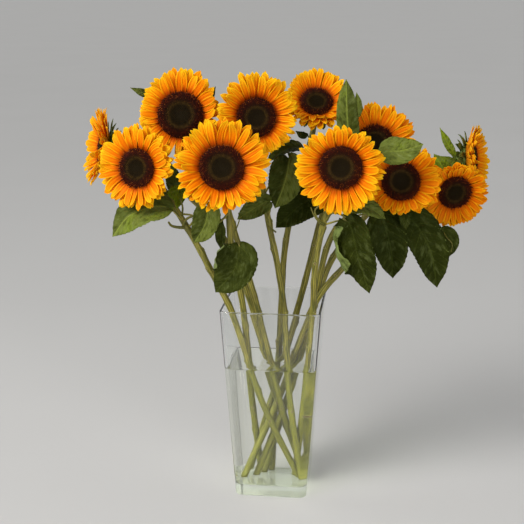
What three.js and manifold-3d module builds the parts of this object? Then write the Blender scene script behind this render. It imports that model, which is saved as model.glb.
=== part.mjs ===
// Sunflowers in a clear square glass vase of water.
// Millimetres, +Z up. The origin is the middle of the vase's underside, the vase's sides face X and Y,
// and the bunch is seen best from -Y.
// Each flower is three solids: a leafy stem (stem, leaves and the green cup behind the head), a ring of
// ray petals in two layers, and a seed disc.

import * as THREE from "three";
import { mergeVertices } from "three/addons/utils/BufferGeometryUtils.js";
import Module from "manifold-3d";

const wasm = await Module();
wasm.setup();

// ---- Driving dimensions ----

const FIT_GAP = 0.3; // left between pieces that touch

const VASE = {
  height: 300,
  baseWidth: 109,
  topWidth: 150,
  wall: 4,
  floor: 17,
  baseCorner: 11, // radius of the upright corners at the bottom
  topCorner: 14,
  edge: 1.2, // rounding of the foot and of the rim
  cornerSteps: 4,
};
const WATER_LEVEL = 208;

const STEM = {
  footRadius: 5,
  neckRadius: 4.3,
  sides: 6,
  straightSpans: 2, // the spans below the rim take one step each
  stepsPerSpan: 2, // and the bent ones above it this many
  neckBack: 30, // how far behind the head the neck turns forward
  neckDrop: 9,
  sunk: 6, // how far the neck ends inside the cup
};

const CUP = {
  depth: 15, // green receptacle behind the petals
  inset: 3, // its front edge lies this far inside the disc's edge
  backRadius: 7.5,
  bandHeight: 5,
  bracts: 10,
  bractLength: 20,
  bractHalfWidth: 6,
  bractThickness: 1.1,
  bractOutline: [[0.4, 1]],
  frontLonger: 1.1, // the front layer's bracts are longer than the back layer's
  backShorter: 0.85,
  frontSlope: -10, // degrees that the bracts lean back from the petals
  backSlope: -26,
  cupShare: 0.4, // how much of the petals' closing the bracts follow
  varied: 0.15,
  lean: 1,
  twist: 0.6,
};

const PETAL = {
  count: 28,
  bandHeight: 3.4,
  halfWidth: 6.5,
  thickness: 0.9,
  outline: [
    [0.45, 1],
    [0.84, 0.86],
  ], // share of the length, share of the half width
  frontSlope: 13, // degrees that the front layer rises out of the ring's plane
  backSlope: 2,
  droop: 2.6, // how far the tips curl back
  varied: 0.08, // share by which the lengths differ
  lean: 1.3,
  twist: 0.5,
};

const DISC = {
  sectors: 14,
  rings: 6,
  wall: 1.6, // height of the disc's edge
  swell: 3.4, // height of the raised ring over the edge
  ringShare: 0.72, // where that ring is highest, as a share of the radius
  dimple: 2.2, // depth of the hollow middle below the ring
  dimpleShare: 0.62, // how far out the hollow reaches
  relief: 0.85, // height of the florets
};

const LEAF = {
  thickness: 0.9,
  petioleRadius: 1.5,
  fold: 13, // degrees that each half rises from the midrib
  lobe: 0.11, // share of the length that the base lobes reach back
  tooth: 0.05, // share of the width by which the margin's teeth go in and out
  wave: 1.4, // rise and fall of the margin
  searchSteps: 400, // how finely a stem is searched for a leaf's height
};

// Half width of a blade, as a share of its greatest, from base to tip.
const BROAD_OUTLINE = [
  [0, 0.16],
  [0.08, 0.72],
  [0.24, 1],
  [0.42, 0.98],
  [0.62, 0.86],
  [0.82, 0.55],
];
const NARROW_OUTLINE = [
  [0, 0.3],
  [0.3, 0.94],
  [0.64, 0.84],
];

const COLOUR = {
  glass: 0xdfe8e2,
  water: 0xc9d2b4,
  leaf: 0x39602a,
  petal: 0xf79a0c,
  disc: 0x2c1512,
};

// ---- The flowers, from left to right ----
// head: the middle of the back of the petal ring. facing: degrees turned to the right of -Y, and raised.
// disc: its radius. petals: their lengths upwards, to the right, down and to the left, as seen from in
// front of the head. cup: degrees by which the petals close forwards. stem: its points from foot to neck.
// A leaf has the height at which it leaves the stem, the base, middle and tip of its blade, its half
// width and the way that its upper side looks.

const FRONT = [0.1, -0.95, 0.3];
const RAISED = [0, -0.6, 0.8];
const LIFTED = [0, -0.85, 0.5];
const ASIDE = [-0.5, -0.8, 0.3];

const broadLeaf = (from, base, mid, tip, half, face) => ({ from, base, mid, tip, half, face });
const narrowLeaf = (...shape) => ({ ...broadLeaf(...shape), narrow: true });

const FLOWERS = [
  {
    name: "a",
    head: [-253, -2, 528],
    facing: [-66, 10],
    disc: 26,
    petals: [34, 34, 34, 34],
    cup: 26,
    stem: [
      [45, 44, 17.3],
      [3, 19, 150],
      [-40, 5, 300],
      [-59, 2, 357],
      [-84, 8, 400],
      [-128, 24, 447],
      [-182, 30, 492],
    ],
    leaves: [
      broadLeaf(452, [-145, -18, 469], [-149, -27, 493], [-158, -33, 516], 12, FRONT),
    ],
  },
  {
    name: "b",
    head: [-182, -98, 514],
    facing: [-17, 8],
    disc: 26.8,
    petals: [34, 29, 32, 34],
    cup: 8,
    stem: [
      [40, 8, 17.3],
      [-13, -34, 150],
      [-58, -60, 300],
      [-76, -66, 340],
      [-104, -74, 399],
      [-127, -72, 438],
      [-155, -62, 478],
    ],
    leaves: [
      broadLeaf(430, [-146, -84, 456], [-195, -96, 446], [-223, -97, 414], 31, RAISED),
      broadLeaf(448, [-131, -58, 478], [-139, -66, 463], [-152, -68, 447], 14, FRONT),
      broadLeaf(424, [-87, -86, 459], [-89, -93, 435], [-106, -90, 407], 20, FRONT),
    ],
  },
  {
    name: "c",
    head: [-136, -17, 579],
    facing: [3, 15],
    disc: 33,
    petals: [35, 24, 29, 27],
    cup: 8,
    stem: [
      [45, 33, 17.3],
      [11, -8, 150],
      [-24, -29, 300],
      [-38, -30, 351],
      [-56, -25, 405],
      [-82, 4, 470],
      [-114, 20, 532],
    ],
    leaves: [
      narrowLeaf(556, [-177, 12, 603], [-195, 4, 608], [-213, -6, 617], 7, FRONT),
      narrowLeaf(545, [-106, 22, 592], [-98, 20, 604], [-90, 16, 618], 6, FRONT),
    ],
  },
  {
    name: "d",
    head: [-23, -43, 581],
    facing: [15, 4],
    disc: 27.4,
    petals: [38, 32, 29, 30],
    cup: 10,
    stem: [
      [45, -4, 17.3],
      [27, -13, 150],
      [14, -10, 300],
      [3, -12, 370],
      [-6, -10, 410],
      [-20, -2, 484],
      [-28, 2, 540],
    ],
    leaves: [
      broadLeaf(425, [-5, -32, 458], [-25, -40, 449], [-50, -46, 433], 15, FRONT),
      broadLeaf(462, [22, -21, 520], [18, -29, 487], [3, -28, 447], 26, FRONT),
    ],
  },
  {
    name: "e",
    head: [-63, -103, 517],
    facing: [9, 19],
    disc: 30.7,
    petals: [39, 37, 32, 35],
    cup: 10,
    stem: [
      [-22, 40, 17.3],
      [-32, -6, 150],
      [-40, -57, 300],
      [-46, -67, 350],
      [-55, -76, 403],
      [-58, -76, 449],
      [-62, -72, 484],
    ],
    leaves: [
      narrowLeaf(442, [-67, -82, 440], [-69, -83, 419], [-67, -81, 393], 8.5, FRONT),
      broadLeaf(402, [-40, -95, 404], [-46, -104, 373], [-73, -106, 339], 29, FRONT),
    ],
  },
  {
    name: "f",
    head: [57, 32, 593],
    facing: [10, 42],
    disc: 23.5,
    petals: [31, 30, 31, 26],
    cup: 24,
    stem: [
      [-5, 41, 17.3],
      [0, 45, 150],
      [8, 27, 300],
      [11, 27, 360],
      [18, 29, 410],
      [34, 40, 480],
      [50, 51, 544],
    ],
    leaves: [
      broadLeaf(500, [38, 28, 526], [14, 4, 528], [-12, -8, 512], 14, RAISED),
      broadLeaf(440, [70, 10, 462], [40, 0, 448], [2, -6, 413], 26, FRONT),
      narrowLeaf(532, [44, 42, 545], [36, 34, 546], [27, 29, 553], 6, FRONT),
    ],
  },
  {
    name: "g",
    head: [101, -83, 519],
    facing: [0, -1],
    disc: 29.6,
    petals: [27, 31, 38, 34],
    cup: 9,
    stem: [
      [33, 19, 17.3],
      [48, -13, 150],
      [61, -33, 300],
      [64, -41, 365],
      [75, -49, 429],
      [87, -52, 473],
    ],
    leaves: [
      broadLeaf(489, [158, -56, 535], [185, -62, 540], [213, -58, 549], 21, LIFTED),
      broadLeaf(430, [110, -60, 437], [126, -65, 391], [144, -60, 332], 30, ASIDE),
      broadLeaf(452, [113, -68, 462], [139, -70, 460], [164, -64, 443], 16, RAISED),
    ],
  },
  {
    name: "h",
    head: [144, 68, 531],
    facing: [9, 26],
    disc: 27,
    petals: [35, 36, 30, 30],
    cup: 12,
    stem: [
      [-40, 40, 17.3],
      [-3, 32, 150],
      [38, 25, 300],
      [55, 27, 371],
      [66, 34, 418],
      [95, 70, 482],
    ],
    leaves: [
      broadLeaf(450, [107, -20, 545], [105, -26, 588], [103, -22, 634], 16.5, FRONT),
      narrowLeaf(456, [120, 6, 578], [119, 6, 597], [117, 8, 613], 7, FRONT),
    ],
  },
  {
    name: "i",
    head: [184, -18, 488],
    facing: [5, 20],
    disc: 27.6,
    petals: [30, 32, 21, 30],
    cup: 16,
    stem: [
      [-27, 8, 17.3],
      [21, 10, 150],
      [61, 12, 300],
      [76, 10, 376],
      [92, 12, 412],
      [132, 12, 446],
    ],
    leaves: [
      broadLeaf(428, [152, -10, 437], [171, -14, 395], [177, -9, 342], 28, FRONT),
      narrowLeaf(440, [187, -24, 448], [191, -28, 436], [194, -24, 420], 9, FRONT),
    ],
  },
  {
    name: "j",
    head: [264, 53, 463],
    facing: [15, -11],
    disc: 24.8,
    petals: [20, 27, 29, 28],
    cup: 14,
    stem: [
      [-45, -7, 17.3],
      [8, 5, 150],
      [63, -3, 300],
      [98, -2, 348],
      [146, 12, 392],
      [206, 56, 432],
    ],
    leaves: [
      broadLeaf(396, [194, 10, 430], [228, 6, 388], [243, 12, 324], 29, FRONT),
      broadLeaf(405, [248, 36, 406], [263, 34, 394], [260, 36, 366], 11, FRONT),
    ],
  },
  {
    name: "k",
    head: [287, 112, 505],
    facing: [75, 8],
    disc: 24,
    petals: [28, 28, 28, 28],
    cup: 30,
    stem: [
      [-16, 26, 17.3],
      [21, 40, 150],
      [63, 44, 300],
      [87, 52, 360],
      [135, 74, 420],
      [200, 98, 470],
    ],
    leaves: [
      broadLeaf(455, [255, 62, 480], [245, 56, 499], [232, 52, 519], 12, FRONT),
      narrowLeaf(488, [264, 92, 508], [253, 82, 530], [240, 76, 555], 7, FRONT),
      narrowLeaf(482, [272, 98, 498], [259, 90, 503], [244, 84, 511], 6, FRONT),
    ],
  },
];

// ---- Small helpers ----

const vector = (list) => new THREE.Vector3(...list);
const radians = (degrees) => (degrees * Math.PI) / 180;

// A repeatable stream of numbers from 0 to 1.
function seededRandom(seed) {
  let state = seed;
  return () => {
    state = (state + 0x6d2b79f5) | 0;
    let mixed = Math.imul(state ^ (state >>> 15), 1 | state);
    mixed = (mixed + Math.imul(mixed ^ (mixed >>> 7), 61 | mixed)) ^ mixed;
    return ((mixed ^ (mixed >>> 14)) >>> 0) / 2 ** 32;
  };
}
const spread = (random, reach) => (2 * random() - 1) * reach;

// A closed surface, built point by point and face by face.
class Surface {
  constructor() {
    this.points = [];
    this.faces = [];
  }
  add(point) {
    this.points.push(point.x, point.y, point.z);
    return this.points.length / 3 - 1;
  }
  triangle(a, b, c) {
    this.faces.push(a, b, c);
  }
  quad(a, b, c, d) {
    this.triangle(a, b, c);
    this.triangle(a, c, d);
  }
  fan(centre, ring) {
    ring.forEach((point, i) => this.triangle(centre, point, ring[(i + 1) % ring.length]));
  }
  band(lower, upper) {
    lower.forEach((point, i) => {
      const next = (i + 1) % lower.length;
      this.quad(point, lower[next], upper[next], upper[i]);
    });
  }
  geometry() {
    const geometry = new THREE.BufferGeometry();
    geometry.setAttribute("position", new THREE.Float32BufferAttribute(this.points, 3));
    geometry.setIndex(this.faces);
    geometry.computeVertexNormals();
    return geometry;
  }
}

function middleOf(ring) {
  return ring.reduce((sum, point) => sum.add(point), new THREE.Vector3()).divideScalar(ring.length);
}

// Rings of points joined into one skin, with both ends closed.
function loft(rings) {
  const surface = new Surface();
  const indexed = rings.map((ring) => ring.map((point) => surface.add(point)));
  for (let i = 1; i < indexed.length; i++) {
    surface.band(indexed[i - 1], indexed[i]);
  }
  const last = indexed.length - 1;
  surface.fan(surface.add(middleOf(rings[0])), [...indexed[0]].reverse());
  surface.fan(surface.add(middleOf(rings[last])), indexed[last]);
  return surface.geometry();
}

function solidFrom(geometry) {
  const bare = new THREE.BufferGeometry();
  bare.setAttribute("position", geometry.getAttribute("position"));
  bare.setIndex(geometry.index);
  const merged = mergeVertices(bare);
  return new wasm.Manifold(
    new wasm.Mesh({
      numProp: 3,
      vertProperties: new Float32Array(merged.getAttribute("position").array),
      triVerts: new Uint32Array(merged.index.array),
    }),
  );
}

function geometryFrom(solid) {
  const mesh = solid.getMesh();
  const geometry = new THREE.BufferGeometry();
  geometry.setAttribute("position", new THREE.BufferAttribute(mesh.vertProperties, 3));
  geometry.setIndex(new THREE.BufferAttribute(mesh.triVerts, 1));
  geometry.computeVertexNormals();
  return geometry;
}

function namedMesh(name, geometry, settings) {
  const mesh = new THREE.Mesh(geometry, new THREE.MeshStandardMaterial(settings));
  mesh.name = name;
  return mesh;
}

// ---- Vase and water ----

// A square with round corners, counter-clockwise seen from above.
function roundedSquare(halfWidth, corner, height) {
  const ring = [];
  for (let quarter = 0; quarter < 4; quarter++) {
    const middle = radians(45 + 90 * quarter);
    const reach = Math.SQRT2 * (halfWidth - corner);
    for (let step = 0; step <= VASE.cornerSteps; step++) {
      const turn = radians(90) * (quarter + step / VASE.cornerSteps);
      ring.push(
        new THREE.Vector3(
          reach * Math.cos(middle) + corner * Math.cos(turn),
          reach * Math.sin(middle) + corner * Math.sin(turn),
          height,
        ),
      );
    }
  }
  return ring;
}

// The vase's cross-section at a height, drawn in from its outer face.
function vaseSection(height, inset) {
  const share = height / VASE.height;
  const halfWidth = THREE.MathUtils.lerp(VASE.baseWidth, VASE.topWidth, share) / 2 - inset;
  const corner = THREE.MathUtils.lerp(VASE.baseCorner, VASE.topCorner, share) - inset;
  return roundedSquare(halfWidth, corner, height);
}

function vaseGeometry() {
  const { height, wall, floor, edge } = VASE;
  return loft([
    vaseSection(0, edge),
    vaseSection(edge, 0),
    vaseSection(height - edge, 0),
    vaseSection(height, edge),
    vaseSection(height, wall - edge),
    vaseSection(height - edge, wall),
    vaseSection(floor + edge, wall),
    vaseSection(floor, wall + edge),
  ]);
}

// The water fills the vase round the stems, which stand in plain holes.
function waterGeometry(stems) {
  const inset = VASE.wall + FIT_GAP;
  const bottom = VASE.floor + FIT_GAP;
  let water = solidFrom(
    loft([
      vaseSection(bottom, inset + VASE.edge),
      vaseSection(bottom + VASE.edge, inset),
      vaseSection(WATER_LEVEL, inset),
    ]),
  );
  for (const stem of stems) {
    water = water.subtract(solidFrom(stem.hole));
  }
  return geometryFrom(water);
}

// ---- Stems ----

function facingOf([turn, rise]) {
  return new THREE.Vector3(
    Math.sin(radians(turn)) * Math.cos(radians(rise)),
    -Math.cos(radians(turn)) * Math.cos(radians(rise)),
    Math.sin(radians(rise)),
  );
}

function stemCurve(flower) {
  const head = vector(flower.head);
  const facing = facingOf(flower.facing);
  const neck = head.clone().addScaledVector(facing, -STEM.neckBack);
  neck.z -= STEM.neckDrop;
  const end = head.clone().addScaledVector(facing, STEM.sunk - CUP.depth);
  return new THREE.CatmullRomCurve3([...flower.stem.map(vector), neck, end]);
}

// A tube along points, its rings turned as little as possible from one to the next. Its foot is cut level.
function tube(points, radiusAt, sides) {
  const side = new THREE.Vector3(1, 0, 0);
  const rings = points.map((point, i) => {
    const before = points[Math.max(i - 1, 0)];
    const after = points[Math.min(i + 1, points.length - 1)];
    const along = after.clone().sub(before).normalize();
    side.addScaledVector(along, -side.dot(along)).normalize();
    const across = along.clone().cross(side);
    const radius = radiusAt(i / (points.length - 1));
    return Array.from({ length: sides }, (_, k) => {
      const turn = (2 * Math.PI * k) / sides;
      const corner = point
        .clone()
        .addScaledVector(side, radius * Math.cos(turn))
        .addScaledVector(across, radius * Math.sin(turn));
      return i ? corner : corner.addScaledVector(along, (point.z - corner.z) / along.z);
    });
  });
  return loft(rings);
}

function stemTube(curve, extra) {
  const spans = curve.points.length - 1;
  const steps = spans * STEM.stepsPerSpan;
  const isKept = (_, i) => i >= STEM.straightSpans * STEM.stepsPerSpan || i % STEM.stepsPerSpan === 0;
  const points = curve.getPoints(steps).filter(isKept);
  const radiusAt = (share) => THREE.MathUtils.lerp(STEM.footRadius, STEM.neckRadius, share) + extra;
  return { points, radiusAt };
}

function stemGeometry(curve) {
  const { points, radiusAt } = stemTube(curve, 0);
  return tube(points, radiusAt, STEM.sides);
}

// The hole that a stem stands in: the stem itself, a little wider and run on past the water's bottom.
function holeGeometry(curve) {
  const { points, radiusAt } = stemTube(curve, FIT_GAP);
  const below = points[0].clone().multiplyScalar(2).sub(points[1]);
  const reach = VASE.floor / (points[0].z - below.z);
  points.unshift(points[0].clone().lerp(below, reach));
  const holeRadius = (share) => radiusAt(Math.max(share - 1 / points.length, 0));
  return tube(points, holeRadius, STEM.sides);
}

// ---- Petal rings and green cups ----

// A short drum whose side carries blades in two layers: the even ones leave its upper band and the odd
// ones its lower band. Every blade grows straight out of the drum's own side, with a shared root.
function crown({ count, radius, height, thickness, blade, back }) {
  const surface = new Surface();
  const at = (turn, reach, rise) =>
    new THREE.Vector3(reach * Math.cos(turn), reach * Math.sin(turn), rise);
  const ring = (reach, rise) =>
    Array.from({ length: count }, (_, i) => surface.add(at((2 * Math.PI * i) / count, reach, rise)));
  const top = ring(radius, 0);
  const middle = ring(radius, -height / 2);
  const bottom = ring(radius, -height);

  surface.fan(surface.add(new THREE.Vector3(0, 0, 0)), top);
  for (let i = 0; i < count; i++) {
    const next = (i + 1) % count;
    const isFront = i % 2 === 0;
    const upper = [middle[i], middle[next], top[next], top[i]];
    const lower = [bottom[i], bottom[next], middle[next], middle[i]];
    const turn = (2 * Math.PI * (i + 0.5)) / count;
    surface.quad(...(isFront ? lower : upper));
    growBlade(surface, isFront ? upper : lower, turn, radius, thickness, blade(turn, isFront));
  }
  let last = bottom;
  for (const [reach, rise] of back) {
    const following = ring(reach, rise);
    surface.band(following, last);
    last = following;
  }
  const end = back.length ? back[back.length - 1][1] : -height;
  surface.fan(surface.add(new THREE.Vector3(0, 0, end)), [...last].reverse());
  return surface.geometry();
}

// root and each row hold four corners: lower left, lower right, upper right and upper left.
function growBlade(surface, root, turn, radius, thickness, { rows, tip }) {
  const out = new THREE.Vector3(Math.cos(turn), Math.sin(turn), 0);
  const across = new THREE.Vector3(-Math.sin(turn), Math.cos(turn), 0);
  const place = (reach, rise, aside) =>
    surface.add(
      out
        .clone()
        .multiplyScalar(radius + reach)
        .addScaledVector(across, aside)
        .setZ(rise),
    );
  let before = root;
  for (const { reach, rise, half, aside, twist } of rows) {
    const corners = [
      place(reach, rise - twist - thickness / 2, aside - half),
      place(reach, rise + twist - thickness / 2, aside + half),
      place(reach, rise + twist + thickness / 2, aside + half),
      place(reach, rise - twist + thickness / 2, aside - half),
    ];
    surface.band(before, corners);
    before = corners;
  }
  surface.fan(place(tip.reach, tip.rise, tip.aside), before);
}

// Length of a petal that points a given way, between the lengths of the four sides.
function petalLength([up, right, down, left], turn) {
  const sideways = Math.cos(turn);
  const upwards = Math.sin(turn);
  return (sideways > 0 ? right : left) * sideways ** 2 + (upwards > 0 ? up : down) * upwards ** 2;
}

// One blade's rows, from its length, its slope in degrees and its layer.
function bladeRows(style, length, slope, isFront, outline, halfWidth, random) {
  const start = style.bandHeight * (isFront ? -0.25 : -0.75); // the middle of its band
  const lean = spread(random, style.lean);
  const row = (share, width) => ({
    reach: length * share * Math.cos(radians(slope)),
    rise: start + length * share * Math.sin(radians(slope)) - (style.droop ?? 0) * share ** 2,
    half: halfWidth * width,
    aside: lean * share,
    twist: spread(random, style.twist),
  });
  return { rows: outline.map(([share, width]) => row(share, width)), tip: row(1, 0) };
}

function petalGeometry(flower, random) {
  const blade = (turn, isFront) => {
    const length = petalLength(flower.petals, turn) * (1 + spread(random, PETAL.varied));
    const slope = (isFront ? PETAL.frontSlope : PETAL.backSlope) + flower.cup;
    return bladeRows(PETAL, length, slope, isFront, PETAL.outline, PETAL.halfWidth, random);
  };
  return crown({
    count: PETAL.count,
    radius: flower.disc,
    height: PETAL.bandHeight,
    thickness: PETAL.thickness,
    blade,
    back: [],
  });
}

function cupGeometry(flower, random) {
  const blade = (turn, isFront) => {
    const layer = isFront ? CUP.frontLonger : CUP.backShorter;
    const length = CUP.bractLength * layer * (1 + spread(random, CUP.varied));
    const slope = (isFront ? CUP.frontSlope : CUP.backSlope) + flower.cup * CUP.cupShare;
    return bladeRows(CUP, length, slope, isFront, CUP.bractOutline, CUP.bractHalfWidth, random);
  };
  return crown({
    count: CUP.bracts,
    radius: flower.disc - CUP.inset,
    height: CUP.bandHeight,
    thickness: CUP.bractThickness,
    blade,
    back: [[CUP.backRadius, -CUP.depth]],
  });
}

// ---- Seed disc ----

// A low dome with a raised outer ring and a hollow middle, covered in florets that alternate from ring
// to ring.
function discHeight(share) {
  const outside = Math.max(0, (share - DISC.ringShare) / (1 - DISC.ringShare));
  const inside = Math.max(0, 1 - share / DISC.dimpleShare);
  return DISC.wall + DISC.swell * (1 - outside ** 2) - DISC.dimple * Math.sin((Math.PI / 2) * inside);
}

function discGeometry(radius) {
  const surface = new Surface();
  const ring = (share, rise, shift) =>
    Array.from({ length: DISC.sectors }, (_, i) => {
      const turn = (2 * Math.PI * (i + shift)) / DISC.sectors;
      const reach = radius * share;
      return surface.add(
        new THREE.Vector3(reach * Math.cos(turn), reach * Math.sin(turn), rise(i)),
      );
    });
  const bottom = ring(1, () => 0, 0);
  const rings = [ring(1, () => DISC.wall, 0)];
  for (let j = DISC.rings - 1; j > 0; j--) {
    const share = (j + 0.25) / DISC.rings;
    const rise = (i) => discHeight(share) + ((i + j) % 2 ? 0 : DISC.relief);
    rings.push(ring(share, rise, (j % 2) / 2));
  }
  surface.fan(surface.add(new THREE.Vector3(0, 0, 0)), [...bottom].reverse());
  surface.band(bottom, rings[0]);
  for (let j = 1; j < rings.length; j++) {
    surface.band(rings[j - 1], rings[j]);
  }
  surface.fan(surface.add(new THREE.Vector3(0, 0, discHeight(0))), rings[rings.length - 1]);
  return surface.geometry();
}

// ---- Leaves ----

function pointAtHeight(curve, height) {
  return curve
    .getSpacedPoints(LEAF.searchSteps)
    .reduce((best, point) => (Math.abs(point.z - height) < Math.abs(best.z - height) ? point : best));
}

// One leaf as a single skin: a thick petiole sunk in the stem, then a thin blade folded along its midrib.
function leafGeometry(leaf, curve, random) {
  const rib = new THREE.CatmullRomCurve3([
    pointAtHeight(curve, leaf.from),
    vector(leaf.base),
    vector(leaf.mid),
    vector(leaf.tip),
  ]);
  const baseShare = 1 / 3; // of the curve's four points, the blade starts at the second
  const length = vector(leaf.base).distanceTo(vector(leaf.tip));
  const face = vector(leaf.face);
  const petiole = { half: LEAF.petioleRadius, thick: LEAF.petioleRadius, back: 0, rise: 0 };
  const rows = [
    { share: 0, ...petiole },
    { share: baseShare * 0.5, ...petiole },
  ];
  const outline = leaf.narrow ? NARROW_OUTLINE : BROAD_OUTLINE;
  outline.forEach(([along, width], i) => {
    const tooth = 1 + (i % 2 ? LEAF.tooth : -LEAF.tooth);
    rows.push({
      share: baseShare + (1 - baseShare) * along,
      half: Math.max(leaf.half * width * tooth, LEAF.petioleRadius),
      thick: i ? LEAF.thickness / 2 : LEAF.petioleRadius * 0.6,
      back: i && !leaf.narrow ? LEAF.lobe * length * (1 - along) ** 3 : 0,
      rise: i ? spread(random, LEAF.wave) : 0,
    });
  });

  const surface = new Surface();
  const fold = radians(LEAF.fold);
  const indexed = rows.map(({ share, half, thick, back, rise }, i) => {
    const point = rib.getPoint(share);
    const along = rib.getTangent(share);
    const side = along.clone().cross(face).normalize();
    const up = side.clone().cross(along).normalize();
    const lift = i > 1 ? half * Math.sin(fold) + rise : 0;
    const place = (aside, level) =>
      surface.add(
        point
          .clone()
          .addScaledVector(side, aside * half * Math.cos(fold))
          .addScaledVector(up, level * thick + (aside ? lift : 0))
          .addScaledVector(along, aside ? -back : 0),
      );
    return {
      top: [place(-1, 1), place(0, 1), place(1, 1)],
      bottom: [place(-1, -1), place(0, -1), place(1, -1)],
    };
  });
  const end = rib.getPoint(1);
  skinLeaf(surface, indexed, surface.add(end));
  return surface.geometry();
}

// Each cell of the blade is cut from its outer corner to the midrib ahead, alike above and below.
function skinLeaf(surface, rows, tip) {
  for (let i = 1; i < rows.length; i++) {
    const [a, b] = [rows[i - 1], rows[i]];
    for (const edge of [0, 2]) {
      const flip = edge === 2;
      const face = (p, q, r) => (flip ? surface.triangle(p, r, q) : surface.triangle(p, q, r));
      face(a.top[edge], a.top[1], b.top[1]);
      face(a.top[edge], b.top[1], b.top[edge]);
      face(a.bottom[edge], b.bottom[1], a.bottom[1]);
      face(a.bottom[edge], b.bottom[edge], b.bottom[1]);
      face(a.bottom[edge], a.top[edge], b.top[edge]);
      face(a.bottom[edge], b.top[edge], b.bottom[edge]);
    }
  }
  const first = rows[0];
  surface.quad(first.bottom[0], first.bottom[1], first.top[1], first.top[0]);
  surface.quad(first.bottom[1], first.bottom[2], first.top[2], first.top[1]);
  const last = rows[rows.length - 1];
  const rim = [...last.bottom, last.top[2], last.top[1], last.top[0]];
  rim.forEach((point, i) => surface.triangle(tip, rim[(i + 1) % rim.length], point));
}

// ---- Assembly ----

const root = new THREE.Group();
const stems = [];

FLOWERS.forEach((flower, index) => {
  const random = seededRandom(101 + index);
  const head = new THREE.Group();
  const facing = facingOf(flower.facing);
  const right = new THREE.Vector3(0, 0, 1).cross(facing).normalize();
  const up = facing.clone().cross(right);
  head.position.copy(vector(flower.head));
  head.quaternion.setFromRotationMatrix(new THREE.Matrix4().makeBasis(right, up, facing));
  head.updateMatrix();

  const petals = namedMesh("ray_petals_" + flower.name, petalGeometry(flower, random), {
    color: COLOUR.petal,
    roughness: 0.6,
  });
  petals.position.z = PETAL.bandHeight;
  const disc = namedMesh("seed_disc_" + flower.name, discGeometry(flower.disc - FIT_GAP), {
    color: COLOUR.disc,
    roughness: 0.9,
  });
  disc.position.z = PETAL.bandHeight + FIT_GAP;
  head.add(petals, disc);
  root.add(head);

  const curve = stemCurve(flower);
  const cup = cupGeometry(flower, random).translate(0, 0, -FIT_GAP).applyMatrix4(head.matrix);
  let green = solidFrom(stemGeometry(curve)).add(solidFrom(cup));
  for (const leaf of flower.leaves) {
    green = green.add(solidFrom(leafGeometry(leaf, curve, random)));
  }
  const stem = namedMesh("leafy_stem_" + flower.name, geometryFrom(green), {
    color: COLOUR.leaf,
    roughness: 0.55,
  });
  root.add(stem);
  stems.push({ hole: holeGeometry(curve) });
});

const vase = namedMesh("vase", vaseGeometry(), {
  color: COLOUR.glass,
  roughness: 0.05,
  transparent: true,
  opacity: 0.35,
});
const water = namedMesh("water", waterGeometry(stems), {
  color: COLOUR.water,
  roughness: 0.02,
  transparent: true,
  opacity: 0.5,
});
root.add(vase, water);

export default root;
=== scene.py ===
"""Sunflowers in a clear square glass vase of water: the looks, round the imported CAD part.

Everything stands in the CAD part's own frame. Sizes and places are written in millimetres, as in the
CAD source, and Skin.piece turns them into metres. The origin is the middle of the vase's underside.
"""

import math
import random
from dataclasses import dataclass

import bpy
import numpy as np
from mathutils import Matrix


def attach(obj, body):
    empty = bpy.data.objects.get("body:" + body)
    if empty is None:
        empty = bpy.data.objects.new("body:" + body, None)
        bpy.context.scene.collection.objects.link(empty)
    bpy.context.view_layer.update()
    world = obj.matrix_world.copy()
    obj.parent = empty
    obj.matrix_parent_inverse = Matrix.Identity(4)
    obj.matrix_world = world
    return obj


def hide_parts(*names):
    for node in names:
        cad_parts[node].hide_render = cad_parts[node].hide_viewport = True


MM = 0.001
FULL_TURN = 2 * math.pi
GOLDEN_TURN = math.pi * (3 - math.sqrt(5))

# ---- The photograph's camera ----

PHOTO_SIDE = 524  # pixels
FOCAL_PIXELS = 1100
SENSOR = 36
CAMERA_PLACE = (176.6, -1592.9, 770)
CAMERA_PITCH = 14.39  # degrees that it looks down
CAMERA_TURN = 7.016  # degrees that it looks to the left of +Y
CAMERA_RANGE = 200  # metres

# ---- Sizes shared with the CAD part ----

VASE_HEIGHT = 300
VASE_BASE, VASE_TOP = 109, 150  # widths
VASE_WALL, VASE_FLOOR = 4, 17
CORNER_BASE, CORNER_TOP = 11, 14  # radii of the upright corners
WATER_LEVEL = 208

STEM_FOOT, STEM_NECK = 5, 4.3  # radii
STEM_LEVELS = (VASE_FLOOR + 0.3, 150, VASE_HEIGHT)  # heights of the first three points of each stem
NECK_BACK, NECK_DROP, NECK_SUNK = 30, 9, 6
CUP_DEPTH, CUP_INSET, CUP_BACK = 15, 3, 7.5
PETAL_BAND = 3.4  # height of the rim that the petals grow from
PETAL_SLOPE = 13  # degrees that the front petals rise
LEAF_FOLD = 13  # degrees that each half of a leaf rises from its midrib

# ---- The flowers ----

FRONT = (0.1, -0.95, 0.3)
RAISED = (0, -0.6, 0.8)
LIFTED = (0, -0.85, 0.5)
ASIDE = (-0.5, -0.8, 0.3)


@dataclass
class Leaf:
    """A leaf on a stem. Left and right are as seen from above it, with its tip up."""

    start: float  # the height at which it leaves the stem
    base: tuple  # where its blade begins
    middle: tuple
    tip: tuple
    half: float  # half the blade's width
    face: tuple = FRONT  # the way that its upper side looks
    narrow: bool = False
    roll: tuple = (0, 0)  # degrees by which its left and right margins roll up
    light: tuple | float = 0.3  # painted light, from 0, the darkest, shaded green, to 1, the lightest, lit or glowing green, of its left and right halves or of both


@dataclass
class Flower:
    """A head, its stem and its leaves."""

    name: str
    head: tuple  # the middle of the back of its petal ring
    facing: tuple  # degrees turned to the right of -Y, and raised
    disc: float  # its radius
    petals: tuple  # their lengths upwards, to the right, down and to the left
    cup: float  # degrees by which the petals close forwards
    warmth_and_shade: float  # how orange its petals are, partly their own tone and partly painted shade for blooms further from the lights or in other heads' shadow
    stem: list  # (x, y) at each of STEM_LEVELS, then the points that it runs through over the vase
    leaves: list
    bracts: float = 0.55  # shifts the noise that streaks them


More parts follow.
